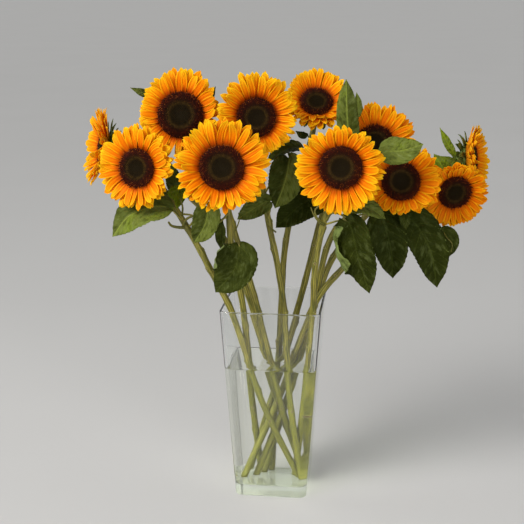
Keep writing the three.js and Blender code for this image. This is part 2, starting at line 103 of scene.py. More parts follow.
FLOWERS = [Flower(
    "a", head=(-253, -2, 528), facing=(-66, 10), disc=26,
    petals=(34, 34, 34, 34), cup=26, warmth_and_shade=0.0,
    stem=[(45, 44), (3, 19), (-40, 5), (-59, 2, 357), (-84, 8, 400), (-128, 24, 447), (-182, 30, 492)],
    leaves=[Leaf(452, (-145, -18, 469), (-149, -27, 493), (-158, -33, 516), 12, light=0.45)],
), Flower(
    "b", head=(-182, -98, 514), facing=(-17, 8), disc=26.8,
    petals=(34, 29, 32, 34), cup=8, warmth_and_shade=0.35,
    stem=[(40, 8), (-13, -34), (-58, -60), (-76, -66, 340), (-104, -74, 399), (-127, -72, 438),
          (-155, -62, 478)],
    leaves=[
        Leaf(430, (-146, -84, 456), (-195, -96, 446), (-223, -97, 414), 31, RAISED, light=(0.84, 0.44)),
        Leaf(448, (-131, -58, 478), (-139, -66, 463), (-152, -68, 447), 14, light=1.0),
        Leaf(424, (-87, -86, 459), (-89, -93, 435), (-106, -90, 407), 20, light=(0.6, 0.35)),
    ],
), Flower(
    "c", head=(-136, -17, 579), facing=(3, 15), disc=33,
    petals=(35, 24, 29, 27), cup=8, warmth_and_shade=0.35,
    stem=[(45, 33), (11, -8), (-24, -29), (-38, -30, 351), (-56, -25, 405), (-82, 4, 470),
          (-114, 20, 532)],
    leaves=[
        Leaf(556, (-177, 12, 603), (-195, 4, 608), (-213, -6, 617), 7, narrow=True, light=0.7),
        Leaf(545, (-106, 22, 592), (-98, 20, 604), (-90, 16, 618), 6, narrow=True),
    ],
), Flower(
    "d", head=(-23, -43, 581), facing=(15, 4), disc=27.4,
    petals=(38, 32, 29, 30), cup=10, warmth_and_shade=0.15,
    stem=[(45, -4), (27, -13), (14, -10), (3, -12, 370), (-6, -10, 410), (-20, -2, 484), (-28, 2, 540)],
    leaves=[
        Leaf(425, (-5, -32, 458), (-25, -40, 449), (-50, -46, 433), 15, light=0.45),
        Leaf(462, (22, -21, 520), (18, -29, 487), (3, -28, 447), 26, light=(0.72, 0.25)),
    ],
), Flower(
    "e", head=(-63, -103, 517), facing=(9, 19), disc=30.7,
    petals=(39, 37, 32, 35), cup=10, warmth_and_shade=0.45,
    stem=[(-22, 40), (-32, -6), (-40, -57), (-46, -67, 350), (-55, -76, 403), (-58, -76, 449),
          (-62, -72, 484)],
    leaves=[
        Leaf(442, (-67, -82, 440), (-69, -83, 419), (-67, -81, 393), 8.5, narrow=True),
        Leaf(402, (-40, -95, 404), (-46, -104, 373), (-73, -106, 339), 29, roll=(0, 112),
             light=0.24),
    ],
), Flower(
    "f", head=(57, 32, 593), facing=(10, 42), disc=23.5,
    petals=(31, 30, 31, 26), cup=24, warmth_and_shade=0.15,
    stem=[(-5, 41), (0, 45), (8, 27), (11, 27, 360), (18, 29, 410), (34, 40, 480), (50, 51, 544)],
    leaves=[
        Leaf(500, (38, 28, 526), (14, 4, 528), (-12, -8, 512), 14, RAISED),
        Leaf(440, (70, 10, 462), (40, 0, 448), (2, -6, 413), 26, light=0.1),
        Leaf(532, (44, 42, 545), (36, 34, 546), (27, 29, 553), 6, narrow=True),
    ],
), Flower(
    "g", head=(101, -83, 519), facing=(0, -1), disc=29.6,
    petals=(27, 31, 38, 34), cup=9, warmth_and_shade=0.3,
    stem=[(33, 19), (48, -13), (61, -33), (64, -41, 365), (75, -49, 429), (87, -52, 473)],
    leaves=[
        Leaf(489, (158, -56, 535), (185, -62, 540), (213, -58, 549), 21, LIFTED, light=(0.8, 0.75)),
        Leaf(430, (110, -60, 437), (126, -65, 391), (144, -60, 332), 30, ASIDE, roll=(0, 172),
             light=(0.14, 0.18)),
        Leaf(452, (113, -68, 462), (139, -70, 460), (164, -64, 443), 16, RAISED, light=(0.7, 0.6)),
    ],
), Flower(
    "h", head=(144, 68, 531), facing=(9, 26), disc=27,
    petals=(35, 36, 30, 30), cup=12, warmth_and_shade=0.75,
    stem=[(-40, 40), (-3, 32), (38, 25), (55, 27, 371), (66, 34, 418), (95, 70, 482)],
    leaves=[
        Leaf(450, (107, -20, 545), (105, -26, 588), (103, -22, 634), 16.5, light=(0.8, 0.35)),
        Leaf(456, (120, 6, 578), (119, 6, 597), (117, 8, 613), 7, narrow=True, light=0.75),
    ],
), Flower(
    "i", head=(184, -18, 488), facing=(5, 20), disc=27.6,
    petals=(30, 32, 21, 30), cup=16, warmth_and_shade=0.85,
    stem=[(-27, 8), (21, 10), (61, 12), (76, 10, 376), (92, 12, 412), (132, 12, 446)],
    leaves=[
        Leaf(428, (152, -10, 437), (171, -14, 395), (177, -9, 342), 28, light=(0.1, 0.15)),
        Leaf(440, (187, -24, 448), (191, -28, 436), (194, -24, 420), 9, narrow=True),
    ],
), Flower(
    "j", head=(264, 53, 463), facing=(15, -11), disc=24.8,
    petals=(20, 27, 29, 28), cup=14, warmth_and_shade=0.9,
    stem=[(-45, -7), (8, 5), (63, -3), (98, -2, 348), (146, 12, 392), (206, 56, 432)],
    leaves=[
        Leaf(396, (194, 10, 430), (228, 6, 388), (243, 12, 324), 29, light=0.15),
        Leaf(405, (248, 36, 406), (263, 34, 394), (260, 36, 366), 11),
    ],
), Flower(
    "k", head=(287, 112, 505), facing=(75, 8), disc=24,
    petals=(28, 28, 28, 28), cup=30, warmth_and_shade=0.0,
    stem=[(-16, 26), (21, 40), (63, 44), (87, 52, 360), (135, 74, 420), (200, 98, 470)],
    leaves=[
        Leaf(455, (255, 62, 480), (245, 56, 499), (232, 52, 519), 12, light=(1.0, 0.9)),
        Leaf(488, (264, 92, 508), (253, 82, 530), (240, 76, 555), 7, narrow=True, light=0.95),
        Leaf(482, (272, 98, 498), (259, 90, 503), (244, 84, 511), 6, narrow=True, light=0.95),
    ],
    bracts=1.05,
)]

# Bare leaf stalks and shoots, by flower: their thickness and the points that they run through.
SHOOTS = {
    "b": [
        (2.1, (-122, -75, 425), (-134, -81, 427), (-141, -80, 429), (-145, -79, 434)),
        (1.9, (-124, -77, 428), (-118, -82, 439), (-106, -86, 445), (-96, -88, 446)),
        (1.4, (-124, -76, 445), (-112, -84, 446), (-104, -88, 445), (-94, -90, 443)),
        (1.5, (-126, -74, 442), (-124, -78, 456), (-127, -80, 468)),
    ],
    "c": [(1.0, (-58, -26, 408), (-52, -30, 420), (-49, -32, 430), (-50, -32, 440))],
    "d": [(1.1, (3, -14, 408), (-6, -20, 418), (-11, -22, 428), (-10, -24, 440))],
    "e": [(1.3, (-59, -80, 448), (-66, -88, 440), (-76, -94, 435), (-84, -95, 433))],
    "f": [(1.2, (24, 27, 420), (14, 12, 430), (10, 2, 440), (12, 0, 452))],
    "g": [
        (1.5, (78, -52, 430), (68, -60, 440), (64, -62, 452), (74, -60, 462)),
        (1.8, (80, -53, 436), (88, -62, 449), (98, -64, 449), (108, -62, 443)),
        (1.2, (77, -52, 428), (70, -58, 434), (62, -60, 446), (58, -58, 456)),
    ],
    "j": [(0.8, (250, 36, 404), (255, 30, 397), (263, 27, 388), (262, 25, 376))],
}

# ---- Vectors and curves ----


def unit(vectors):
    return vectors / np.linalg.norm(vectors, axis=-1, keepdims=True)


def stacked(*parts):
    """Arrays and numbers that fit each other, as one array of triples."""
    return np.stack(np.broadcast_arrays(*parts), axis=-1)


def smoothstep(low, high, values):
    share = np.clip((np.asarray(values, float) - low) / (high - low), 0, 1)
    return share * share * (3 - 2 * share)


def bell(values, width):
    return np.exp(-((np.asarray(values) / width) ** 2))


def turns(count):
    """This many angles, evenly round a circle."""
    return np.linspace(0, FULL_TURN, count, endpoint=False)


def circle(radius, height, sides):
    turn = turns(sides)
    return stacked(radius * np.cos(turn), radius * np.sin(turn), height)


def rings_of(profile, sides):
    """Circles round an upright axis, from (radius, height) pairs."""
    return np.array([circle(radius, height, sides) for radius, height in profile])


def spline(points, steps):
    """The CAD part's own curve: a centripetal Catmull-Rom spline, with this many steps to a span."""
    points = np.array(points, float)
    run = [2 * points[0] - points[1], *points, 2 * points[-1] - points[-2]]
    t = np.arange(steps)[:, None] / steps
    spans = []
    for before, start, end, after in zip(run, run[1:], run[2:], run[3:]):
        first, second, third = (np.linalg.norm(d) ** 0.5 for d in (start - before, end - start, after - end))
        leave = (start - before) / first - (end - before) / (first + second) + (end - start) / second
        arrive = (end - start) / second - (after - start) / (second + third) + (after - end) / third
        spans.append(
            (2 * t**3 - 3 * t**2 + 1) * start
            + (t**3 - 2 * t**2 + t) * leave * second
            + (3 * t**2 - 2 * t**3) * end
            + (t**3 - t**2) * arrive * second
        )
    return np.vstack([*spans, points[-1]])


def distances(points):
    """How far along the line each of its points lies."""
    return np.concatenate([[0], np.cumsum(np.linalg.norm(np.diff(points, axis=0), axis=1))])


def resample(points, count):
    """The same line with its points evenly spaced."""
    along = distances(points)
    wanted = np.linspace(0, along[-1], count)
    return np.stack([np.interp(wanted, along, points[:, axis]) for axis in range(3)], axis=1)


def frames_along(points, side):
    """Tangents, and two cross directions carried along the line with the least turning."""
    tangents = unit(np.gradient(points, axis=0))
    sides = []
    for tangent in tangents:
        side = unit(side - tangent * tangent.dot(side))
        sides.append(side)
    sides = np.array(sides)
    return tangents, sides, np.cross(tangents, sides)


def rings_along(points, sides, fronts, radius, turn):
    """Rings round a line, from its cross directions, radii and the angles of a ring's points."""
    ring = sides[:, None] * (radius * np.cos(turn))[..., None]
    return points[:, None] + (ring + fronts[:, None] * (radius * np.sin(turn))[..., None])


def head_axes(flower):
    """Right, up and facing of a head, as the rows of a matrix."""
    turn, rise = (math.radians(angle) for angle in flower.facing)
    facing = np.array([math.sin(turn) * math.cos(rise), -math.cos(turn) * math.cos(rise), math.sin(rise)])
    right = unit(np.cross([0, 0, 1], facing))
    return np.array([right, np.cross(facing, right), facing])


# ---- Meshes ----


def new_object(name, data):
    made = bpy.data.objects.new(name, data)
    bpy.context.scene.collection.objects.link(made)
    return made


class Skin:
    """Small surfaces gathered into one mesh. Each point carries three numbers that its material reads as
    the attribute "paint", and each face the number of its material."""

    def __init__(self):
        self.points, self.paints, self.faces, self.materials = [], [], [], []
        self.size = 0

    def add(self, points, faces, paints, material=0):
        points = np.asarray(points, float).reshape(-1, 3)
        self.points.append(points)
        self.paints.append(np.broadcast_to(np.asarray(paints, float).reshape(-1, 3), points.shape))
        for face, number in zip(faces, np.broadcast_to(material, len(faces))):
            self.faces.append([corner + self.size for corner in face])
            self.materials.append(int(number))
        self.size += len(points)

    def put_on_head(self, flower):
        """Moves all points from the head's own axes to the part's frame."""
        self.points = [points @ head_axes(flower) + flower.head for points in self.points]

    def piece(self, name, materials, slot, node):
        mesh = bpy.data.meshes.new(name)
        mesh.from_pydata((np.vstack(self.points) * MM).tolist(), [], self.faces)
        paint = mesh.attributes.new("paint", "FLOAT_VECTOR", "POINT")
        paint.data.foreach_set("vector", np.vstack(self.paints).ravel())
        for material in materials:
            mesh.materials.append(material)
        mesh.polygons.foreach_set("material_index", self.materials)
        mesh.shade_smooth()
        mesh.update()
        piece = new_object(name, mesh)
        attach(piece, "root")
        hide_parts(node)
        return piece


def band_faces(rows, columns):
    """Quads between the rows of a grid of points that closes on itself sideways."""
    i, j = np.meshgrid(np.arange(rows - 1), np.arange(columns), indexing="ij")
    here, right = i * columns + j, i * columns + (j + 1) % columns
    return np.stack([here, right, right + columns, here + columns], axis=-1).reshape(-1, 4).tolist()


def add_tube(skin, rings, paints=(0, 0, 0), material=0):
    """Rings of points, closed round and at both ends."""
    rows, sides = rings.shape[:2]
    faces = band_faces(rows, sides)
    faces.append(list(range(sides))[::-1])
    faces.append([(rows - 1) * sides + j for j in range(sides)])
    skin.add(rings, faces, paints, material)


def add_blade(skin, middle, thickness, paints, upper, under):
    """A thin closed blade round a grid of points: rows run from root to tip and columns to the left."""
    rows, columns = middle.shape[:2]
    normals = unit(np.cross(np.gradient(middle, axis=0), np.gradient(middle, axis=1)))
    half = normals * (thickness[..., None] / 2)
    loop = np.concatenate([middle + half, (middle - half)[:, ::-1]], axis=1)
    faces = band_faces(rows, 2 * columns)
    across = np.tile(np.arange(2 * columns), rows - 1)
    materials = list(np.where((across >= columns) & (across < 2 * columns - 1), under, upper))
    last = (rows - 1) * 2 * columns
    for j in range(columns - 1):
        opposite = 2 * columns - 1 - j
        faces.append([j, opposite, opposite - 1, j + 1])
        faces.append([last + j, last + j + 1, last + opposite - 1, last + opposite])
        materials += [upper, upper]
    skin.add(loop, faces, np.concatenate([paints, paints[:, ::-1]], axis=1), np.array(materials))


# ---- Petals and bracts ----


@dataclass
class BladeStyle:
    """How a petal or a bract is shaped."""

    rows: int
    columns: int
    thickness: float
    base: float  # its width at the root, as a share of the widest
    fullness: float  # how round its tip is
    hollow: float  # how far its margins rise, as a share of the half width
    groove: float  # depth of the two lengthwise grooves


PETAL = BladeStyle(rows=11, columns=9, thickness=0.6, base=0.66, fullness=6, hollow=0.18, groove=0.85)
BLUNT_PETAL = BladeStyle(rows=11, columns=9, thickness=0.6, base=0.6, fullness=9, hollow=0.14, groove=0.85)
BRACT = BladeStyle(rows=10, columns=7, thickness=0.9, base=0.8, fullness=1.9, hollow=0.3, groove=0.2)
LEAST_HALF_WIDTH = 0.22
GROOVE_PLACE, GROOVE_WIDTH = 0.45, 0.2  # as shares of the half width

# Petals in a layer, the share of the band's height that they leave from, their slope from the head's
# plane and their length as a share of the CAD petal's.
PETAL_LAYERS = [(30, 0.12, 0, 1.05), (30, 0.45, 7, 1.02), (25, 0.85, PETAL_SLOPE + 1, 0.96)]
PETAL_SUNK = 2.5  # how far inside the disc's edge the petals begin
ODD_PETALS = 0.14  # the share of them that curl or twist out of line
RIM_SUNK, RIM_INSET, RIM_SIDES = 2, 0.2, 36

BRACT_LAYERS = [(9, -3, 21.5, -9), (9, -6, 20, -19), (8, -9.5, 17, -31)]  # count, level, length, slope
CUP_SIDES, CUP_LENGTH = 40, 24


def half_width(style, share, half):
    widening = style.base + (1 - style.base) * smoothstep(0, 0.5, share)
    return np.maximum(half * widening * (1 - share**style.fullness) ** 0.56, LEAST_HALF_WIDTH)


def add_radial_blade(
    skin, style, shade, upper, under, turn, root, rise, length, half, slope, curl, aside, twist, ripple
):
    """A petal or bract that leaves a head's rim at this turn. It climbs at slope degrees, and curl more at
    its tip, where it has also turned aside and twisted by so many degrees."""
    share = np.linspace(0, 1, style.rows) ** 0.9
    climb = np.radians(slope + curl * share**2)
    step = np.diff(share, prepend=0) * length
    reach = root + np.cumsum(np.cos(climb) * step)
    level = rise + np.cumsum(np.sin(climb) * step)
    heading = turn + math.radians(aside) * share**2
    centre = stacked(np.cos(heading) * reach, np.sin(heading) * reach, level)

    along = unit(np.gradient(centre, axis=0))
    level_across = stacked(-np.sin(heading), np.cos(heading), 0)
    roll = (np.radians(twist) * share)[:, None]
    across = level_across * np.cos(roll) + unit(np.cross(along, level_across)) * np.sin(roll)
    up = np.cross(along, across)

    t = np.linspace(-1, 1, style.columns)
    width = half_width(style, share, half)[:, None]
    groove = bell(np.abs(t) - GROOVE_PLACE, GROOVE_WIDTH) * smoothstep(1.05, 0.6, share)[:, None]
    lift = style.hollow * width * t**2 - style.groove * groove
    lift = lift + ripple * np.sin(9 * share + 2 * turn)[:, None] * t**3
    grid = centre[:, None] + across[:, None] * (t * width)[..., None] + up[:, None] * lift[..., None]
    thickness = style.thickness * (0.35 + 0.65 * (1 - t**2)) * (1 - 0.4 * share)[:, None]
    add_blade(skin, grid, thickness, stacked(share[:, None], 0.5 + 0.5 * t, shade), upper, under)


def petal_length(flower, turn):
    """The CAD part's rule: between the lengths of the four sides."""
    up, right, down, left = flower.petals
    sideways, upwards = math.cos(turn), math.sin(turn)
    return (right if sideways > 0 else left) * sideways**2 + (up if upwards > 0 else down) * upwards**2


def build_petals(skin, flower, rng):
    for layer, (count, share, slope, reach) in enumerate(PETAL_LAYERS):
        for i in range(count):
            turn = FULL_TURN * (i + layer / 3 + rng.uniform(-0.22, 0.22)) / count
            odd = rng.random() < ODD_PETALS
            add_radial_blade(
                skin, rng.choice([PETAL, BLUNT_PETAL]), upper=0, under=1,
                shade=min(max(flower.warmth_and_shade + rng.uniform(-0.45, 0.45), 0), 1),
                turn=turn, root=flower.disc - PETAL_SUNK, rise=PETAL_BAND * share,
                length=(petal_length(flower, turn) + PETAL_SUNK) * reach * rng.uniform(0.92, 1.05),
                half=rng.uniform(3.7, 6.1),
                slope=slope + flower.cup + rng.uniform(-3, 3),
                curl=rng.uniform(-28, 4) + (rng.choice([-32, 36]) if odd else 0),
                aside=rng.uniform(-6, 6) * (2.2 if odd else 1),
                twist=rng.uniform(2, 16) + (rng.uniform(-40, 40) if odd else 0),
                ripple=rng.uniform(0.2, 1.1),
            )
    # The short drum that the petals grow from, hidden between the disc and the cup.
    rim = flower.disc - RIM_SUNK
    add_tube(skin, rings_of([(rim, RIM_INSET), (rim, PETAL_BAND - RIM_INSET)], RIM_SIDES), (0.1, 0.5, 0.5))
    skin.put_on_head(flower)


def build_cup(skin, flower, rng):
    """The green receptacle, which narrows to the stem, and its three layers of pointed bracts."""
    front = flower.disc - CUP_INSET
    profile = [(front, -0.3), (front * 0.97, -3.5), (front * 0.86, -7), (front * 0.66, -10.5)]
    profile += [(front * 0.46, -13.4), (CUP_BACK, -16), (6, -19.5), (STEM_NECK + 0.3, -CUP_LENGTH)]
    rings = rings_of(profile[::-1], CUP_SIDES)
    add_tube(skin, rings, stacked(0.1, rings[..., 2] / -CUP_LENGTH, 0.5), 1)
    for layer, (count, level, length, slope) in enumerate(BRACT_LAYERS):
        for i in range(count):
            add_radial_blade(
                skin, BRACT, upper=1, under=0,
                shade=min(flower.bracts + rng.uniform(-0.35, 0.35), 1),
                turn=FULL_TURN * (i + layer / 3 + rng.uniform(-0.15, 0.15)) / count,
                root=front * (0.97 - 0.13 * layer), rise=level,
                length=length * rng.uniform(0.85, 1.12), half=rng.uniform(5.3, 6.8),
                slope=slope + flower.cup * 0.4 + rng.uniform(-4, 4), curl=rng.uniform(-42, 6),
                aside=rng.uniform(-6, 6), twist=rng.uniform(-8, 14), ripple=rng.uniform(0.1, 0.5),
            )
    skin.put_on_head(flower)


# ---- Seed disc ----

DISC_FLOOR = 3.7  # height of the disc's back over the back of the petal ring
DISC_WALL, DISC_SWELL, DISC_RING_SHARE = 1.6, 3.4, 0.72
DISC_DIMPLE, DISC_DIMPLE_SHARE = 2.2, 0.62
DISC_OVER = 0.3  # how far the florets stand out over the solid disc
DOME_SIDES, DOME_SUNK = 40, 1.5
DOME_SHARES = (0.97, 0.9, 0.8, 0.7, 0.6, 0.5, 0.4, 0.3, 0.2, 0.1, 0.02)
FLORET_PITCH, FLORET_SUNK = 2.12, 1.4
OUTERMOST_SHARE = 0.985
OPEN_SHARE, OPEN_HEIGHT = 0.6, 2.3  # florets further out than this share are open
UNEVEN = 4.8  # how much the outer florets differ in height
BUD = rings_of([(0.8, -1.2), (0.95, 0.3), (0.62, 0.85), (0.12, 1.15)], 6)
OPEN_FLORET = rings_of([(0.7, -1.6), (0.8, 0.35), (1.0, 0.7), (0.42, 0.6), (0.5, 1.3), (0.1, 1.25)], 5)
FLORET_TOP = 1.3


def disc_height(share):
    """The CAD part's rule: a raised outer ring round a hollow middle."""
    outside = np.maximum(0, (share - DISC_RING_SHARE) / (1 - DISC_RING_SHARE))
    inside = np.maximum(0, 1 - share / DISC_DIMPLE_SHARE)
    swell = DISC_SWELL * (1 - outside**2)
    return DISC_FLOOR + DISC_WALL + swell - DISC_DIMPLE * np.sin(math.pi / 2 * inside)


def add_florets(skin, rings, florets, rng):
    """Copies of one floret's rings, each at its own place, tilt, size and height."""
    rows, sides = rings.shape[:2]
    faces = band_faces(rows, sides)
    faces.append([(rows - 1) * sides + j for j in range(sides)])
    level = np.clip(rings[..., 2].ravel() / FLORET_TOP, 0, 1)
    for place, normal, size, height, share in zip(*florets):
        side = unit(np.cross(normal, [math.cos(rng.uniform(0, 6)), 0.3, 0.5]))
        axes = np.array([side * size, np.cross(normal, side) * size, normal * height])
        skin.add(rings.reshape(-1, 3) @ axes + place, faces, stacked(share, level, rng.random()))


def build_disc(skin, flower, rng):
    """A dome, and florets in a sunflower's spirals on it: buds inside and open ones outside."""
    radius = flower.disc + DISC_OVER
    profile = [(radius - 0.6, DISC_FLOOR - 0.3), (radius, DISC_FLOOR + 0.8)]
    profile += [(radius * share, disc_height(share) - DOME_SUNK) for share in DOME_SHARES]
    dome = rings_of(profile, DOME_SIDES)
    add_tube(skin, dome, stacked(np.linalg.norm(dome[..., :2], axis=-1) / radius, 0, 0.3))

    count = int(math.pi * radius**2 / FLORET_PITCH**2)
    index = np.arange(count) + 0.5
    share = np.sqrt(index / count) * OUTERMOST_SHARE
    turn = index * GOLDEN_TURN
    reach = radius * share
    places = stacked(reach * np.cos(turn), reach * np.sin(turn), disc_height(share) - FLORET_SUNK)
    lean = (disc_height(share - 0.03) - disc_height(share + 0.03)) / (0.06 * radius)
    tilt = np.clip(lean * 0.6 + 0.12 * share, -0.5, 1.1)
    normals = unit(stacked(tilt * np.cos(turn), tilt * np.sin(turn), 1))
    jitter = np.array([rng.uniform(0.85, 1.15) for _ in range(count)])
    is_open = share + 0.03 * (jitter - 1) > OPEN_SHARE
    places += normals * (UNEVEN * (jitter - 1) * smoothstep(0.7, 1, share))[:, None]
    sizes = np.where(is_open, 1.0, 0.62 + 0.55 * share) * jitter
    heights = np.where(is_open, OPEN_HEIGHT, 1.5 + 1.2 * share) * jitter
    heights *= 1 + 0.35 * smoothstep(0.85, 1, share)
    for rings, chosen in ((BUD, ~is_open), (OPEN_FLORET, is_open)):
        florets = [values[chosen] for values in (places, normals, sizes, heights, share)]
        add_florets(skin, rings, florets, rng)
    skin.put_on_head(flower)


# ---- Stems ----

STEM_SIDES, STEM_STEP, STEM_CURVE_STEPS = 20, 4.5, 24
STEM_RIBS, RIB_DEPTH, RIB_TWIST = 8, 0.035, 0.004
PAINT_STEP = 10  # length of stem that counts as one in its paint
SCAR_EVERY = 48  # distance between the places where leaves were stripped
SCAR_WIDE, SCAR_HIGH, SCAR_SIDES = 3.4, 2.4, 12
NODE_LENGTH = 7  # of the swelling round a scar
SCAR_RINGS = np.array([(1.25, -1.2), (1, 0), (0.72, 0.35), (0.45, 0), (0.05, 0.05)])  # size and height
HAIR_LONG, HAIR_THICK, HAIRS_PER_STEM = 1.3, 0.11, 420
HAIRY_FROM = VASE_HEIGHT - 40
SHOOT_SIDES, SHOOT_CURVE_STEPS, SHOOT_TAPER = 8, 8, (1.15, 0.7)


def stem_line(flower):
    axes = head_axes(flower)
    head = np.array(flower.head, float)
    neck = head - axes[2] * NECK_BACK - [0, 0, NECK_DROP]
    end = head + axes[2] * (NECK_SUNK - CUP_DEPTH)
    in_vase = [(*place, level) for place, level in zip(flower.stem, STEM_LEVELS)]
    return spline([*in_vase, *flower.stem[len(in_vase) :], neck, end], STEM_CURVE_STEPS)


def stem_radius(share):
    return STEM_FOOT + (STEM_NECK - STEM_FOOT) * share


def build_stem(skin, flower, rng):
    line = stem_line(flower)
    length = distances(line)[-1]
    points = resample(line, int(length / STEM_STEP))
    along = distances(points)
    tangents, sides, fronts = frames_along(points, np.array([1.0, 0, 0]))
    scars = [
        (SCAR_EVERY * (k + rng.uniform(0.3, 0.9)), k * GOLDEN_TURN + rng.uniform(-0.4, 0.4))
        for k in range(1, int(length / SCAR_EVERY) - 1)
    ]
    turn = turns(STEM_SIDES)
    ribs = 1 + RIB_DEPTH * np.cos(STEM_RIBS * turn + RIB_TWIST * along[:, None])
    radius = stem_radius(along / length)[:, None] * ribs
    for place, side in scars:
        facing = 0.5 + 0.5 * np.cos(turn - side)
        radius = radius + bell(along - place, NODE_LENGTH)[:, None] * (0.25 + 1.15 * facing**3)
    rings = rings_along(points, sides, fronts, radius, turn)
    # The foot is cut level.
    rings[0] += tangents[0] * ((points[0][2] - rings[0, :, 2]) / tangents[0][2])[:, None]
    add_tube(skin, rings, stacked(np.cos(turn), np.sin(turn), along[:, None] / PAINT_STEP))
    for place, side in scars:
        i = int(np.searchsorted(along, place))
        out = sides[i] * math.cos(side) + fronts[i] * math.sin(side)
        add_scar(skin, points[i], out, tangents[i], stem_radius(place / length) + 1.4)
    for thickness, *through in SHOOTS.get(flower.name, []):
        run = spline(through, SHOOT_CURVE_STEPS)
        radius = thickness * np.linspace(*SHOOT_TAPER, len(run))[:, None]
        add_stalk(skin, run, np.array([0.3, 1.0, 0.2]), radius, turns(SHOOT_SIDES), 0)
    add_stem_hairs(skin, points, sides, fronts, stem_radius(along / length), rng)


def add_stalk(skin, run, side, radius, turn, material):
    """A thin tube along a run of points, painted as a stem is."""
    _, sides, fronts = frames_along(run, side)
    paints = stacked(0.3 * np.cos(turn), 0.3 * np.sin(turn), distances(run)[:, None] / PAINT_STEP)
    add_tube(skin, rings_along(run, sides, fronts, radius, turn), paints, material)


def add_scar(skin, centre, out, along, radius):
    """A low oval pad with a rim, where a leaf stalk was pulled off."""
    turn = turns(SCAR_SIDES)
    share, level = SCAR_RINGS[:, :1], SCAR_RINGS[:, 1:]
    aside = SCAR_WIDE * share * np.cos(turn) / radius
    reach = radius + level
    rings = (
        centre
        + out * (reach * np.cos(aside))[..., None]
        + np.cross(along, out) * (reach * np.sin(aside))[..., None]
        + along * (SCAR_HIGH * share * np.sin(turn))[..., None]
    )
    add_tube(skin, rings, stacked(share + 0 * turn, 0, 0), 1)


def add_stem_hairs(skin, points, sides, fronts, radii, rng):
    """Short stiff hairs on the part of the stem that stands out of the vase."""
    dry = np.nonzero(points[:, 2] > HAIRY_FROM)[0]
    for _ in range(HAIRS_PER_STEM):
        i = rng.choice(dry)
        turn = rng.uniform(0, FULL_TURN)
        out = sides[i] * math.cos(turn) + fronts[i] * math.sin(turn)
        across = np.cross(out, [0.3, 0.2, 0.93]) * HAIR_THICK
        root = points[i] + out * (radii[i] - 0.3)
        tip = root + out * (HAIR_LONG * rng.uniform(0.7, 1.4)) + [0, 0, rng.uniform(-0.4, 0.7)]
        corners = [root + across, root - across, root + np.cross(out, across), tip]
        skin.add(corners, [[0, 1, 3], [1, 2, 3], [2, 0, 3]], (0, 0, 0), 2)


# ---- Leaves ----

# Share of the length, and share of the half width there.
BROAD_OUTLINE = [(0, 0.1), (0.04, 0.5), (0.1, 0.8), (0.24, 1), (0.42, 0.98), (0.62, 0.86), (0.82, 0.55)]
NARROW_OUTLINE = [(0, 0.3), (0.3, 0.94), (0.64, 0.84)]
OUTLINE_TIP = (1, 0)
OUTLINE_POINTS, OUTLINE_SMOOTHINGS = 201, 60
LEAF_ROWS, LEAF_COLUMNS, LEAF_CURVE_STEPS, STALK_POINTS = 61, 21, 40, 12
LEAF_TEETH, TOOTH_DEPTH = 15, 0.05
LEAF_DROOP = 14  # degrees by which the margins bend down again
LEAF_LOBE = 0.11  # share of the length that the lobes at the base reach back
LEAF_THICK, RIB_THICK = 0.45, 1.5
ROLL_MORE = 0.95  # how much wider a half is where its margin rolls over
ROLL_START, ROLL_END = (0.02, 0.12), (0.74, 0.6)  # where along the blade the roll comes and goes
CREASE, CREASE_WIDTH = 0.5, 0.22  # where across a half it bends over
PETIOLE_RADIUS, PETIOLE_SIDES = 1.5, 9
VEINS = 8  # side veins to one length of leaf
VEIN_SLANT, VEIN_BEND, VEIN_RELIEF = 0.75, 1.3, 1.1


def outline_width(outline, share):
    """The outline through its few points, rounded off."""
    fine = np.linspace(0, 1, OUTLINE_POINTS)
    width = np.interp(fine, *np.array([*outline, OUTLINE_TIP]).T)
    for _ in range(OUTLINE_SMOOTHINGS):
        width[1:-1] = (width[:-2] + width[1:-1] + width[2:]) / 3
    return np.interp(share, fine, width)


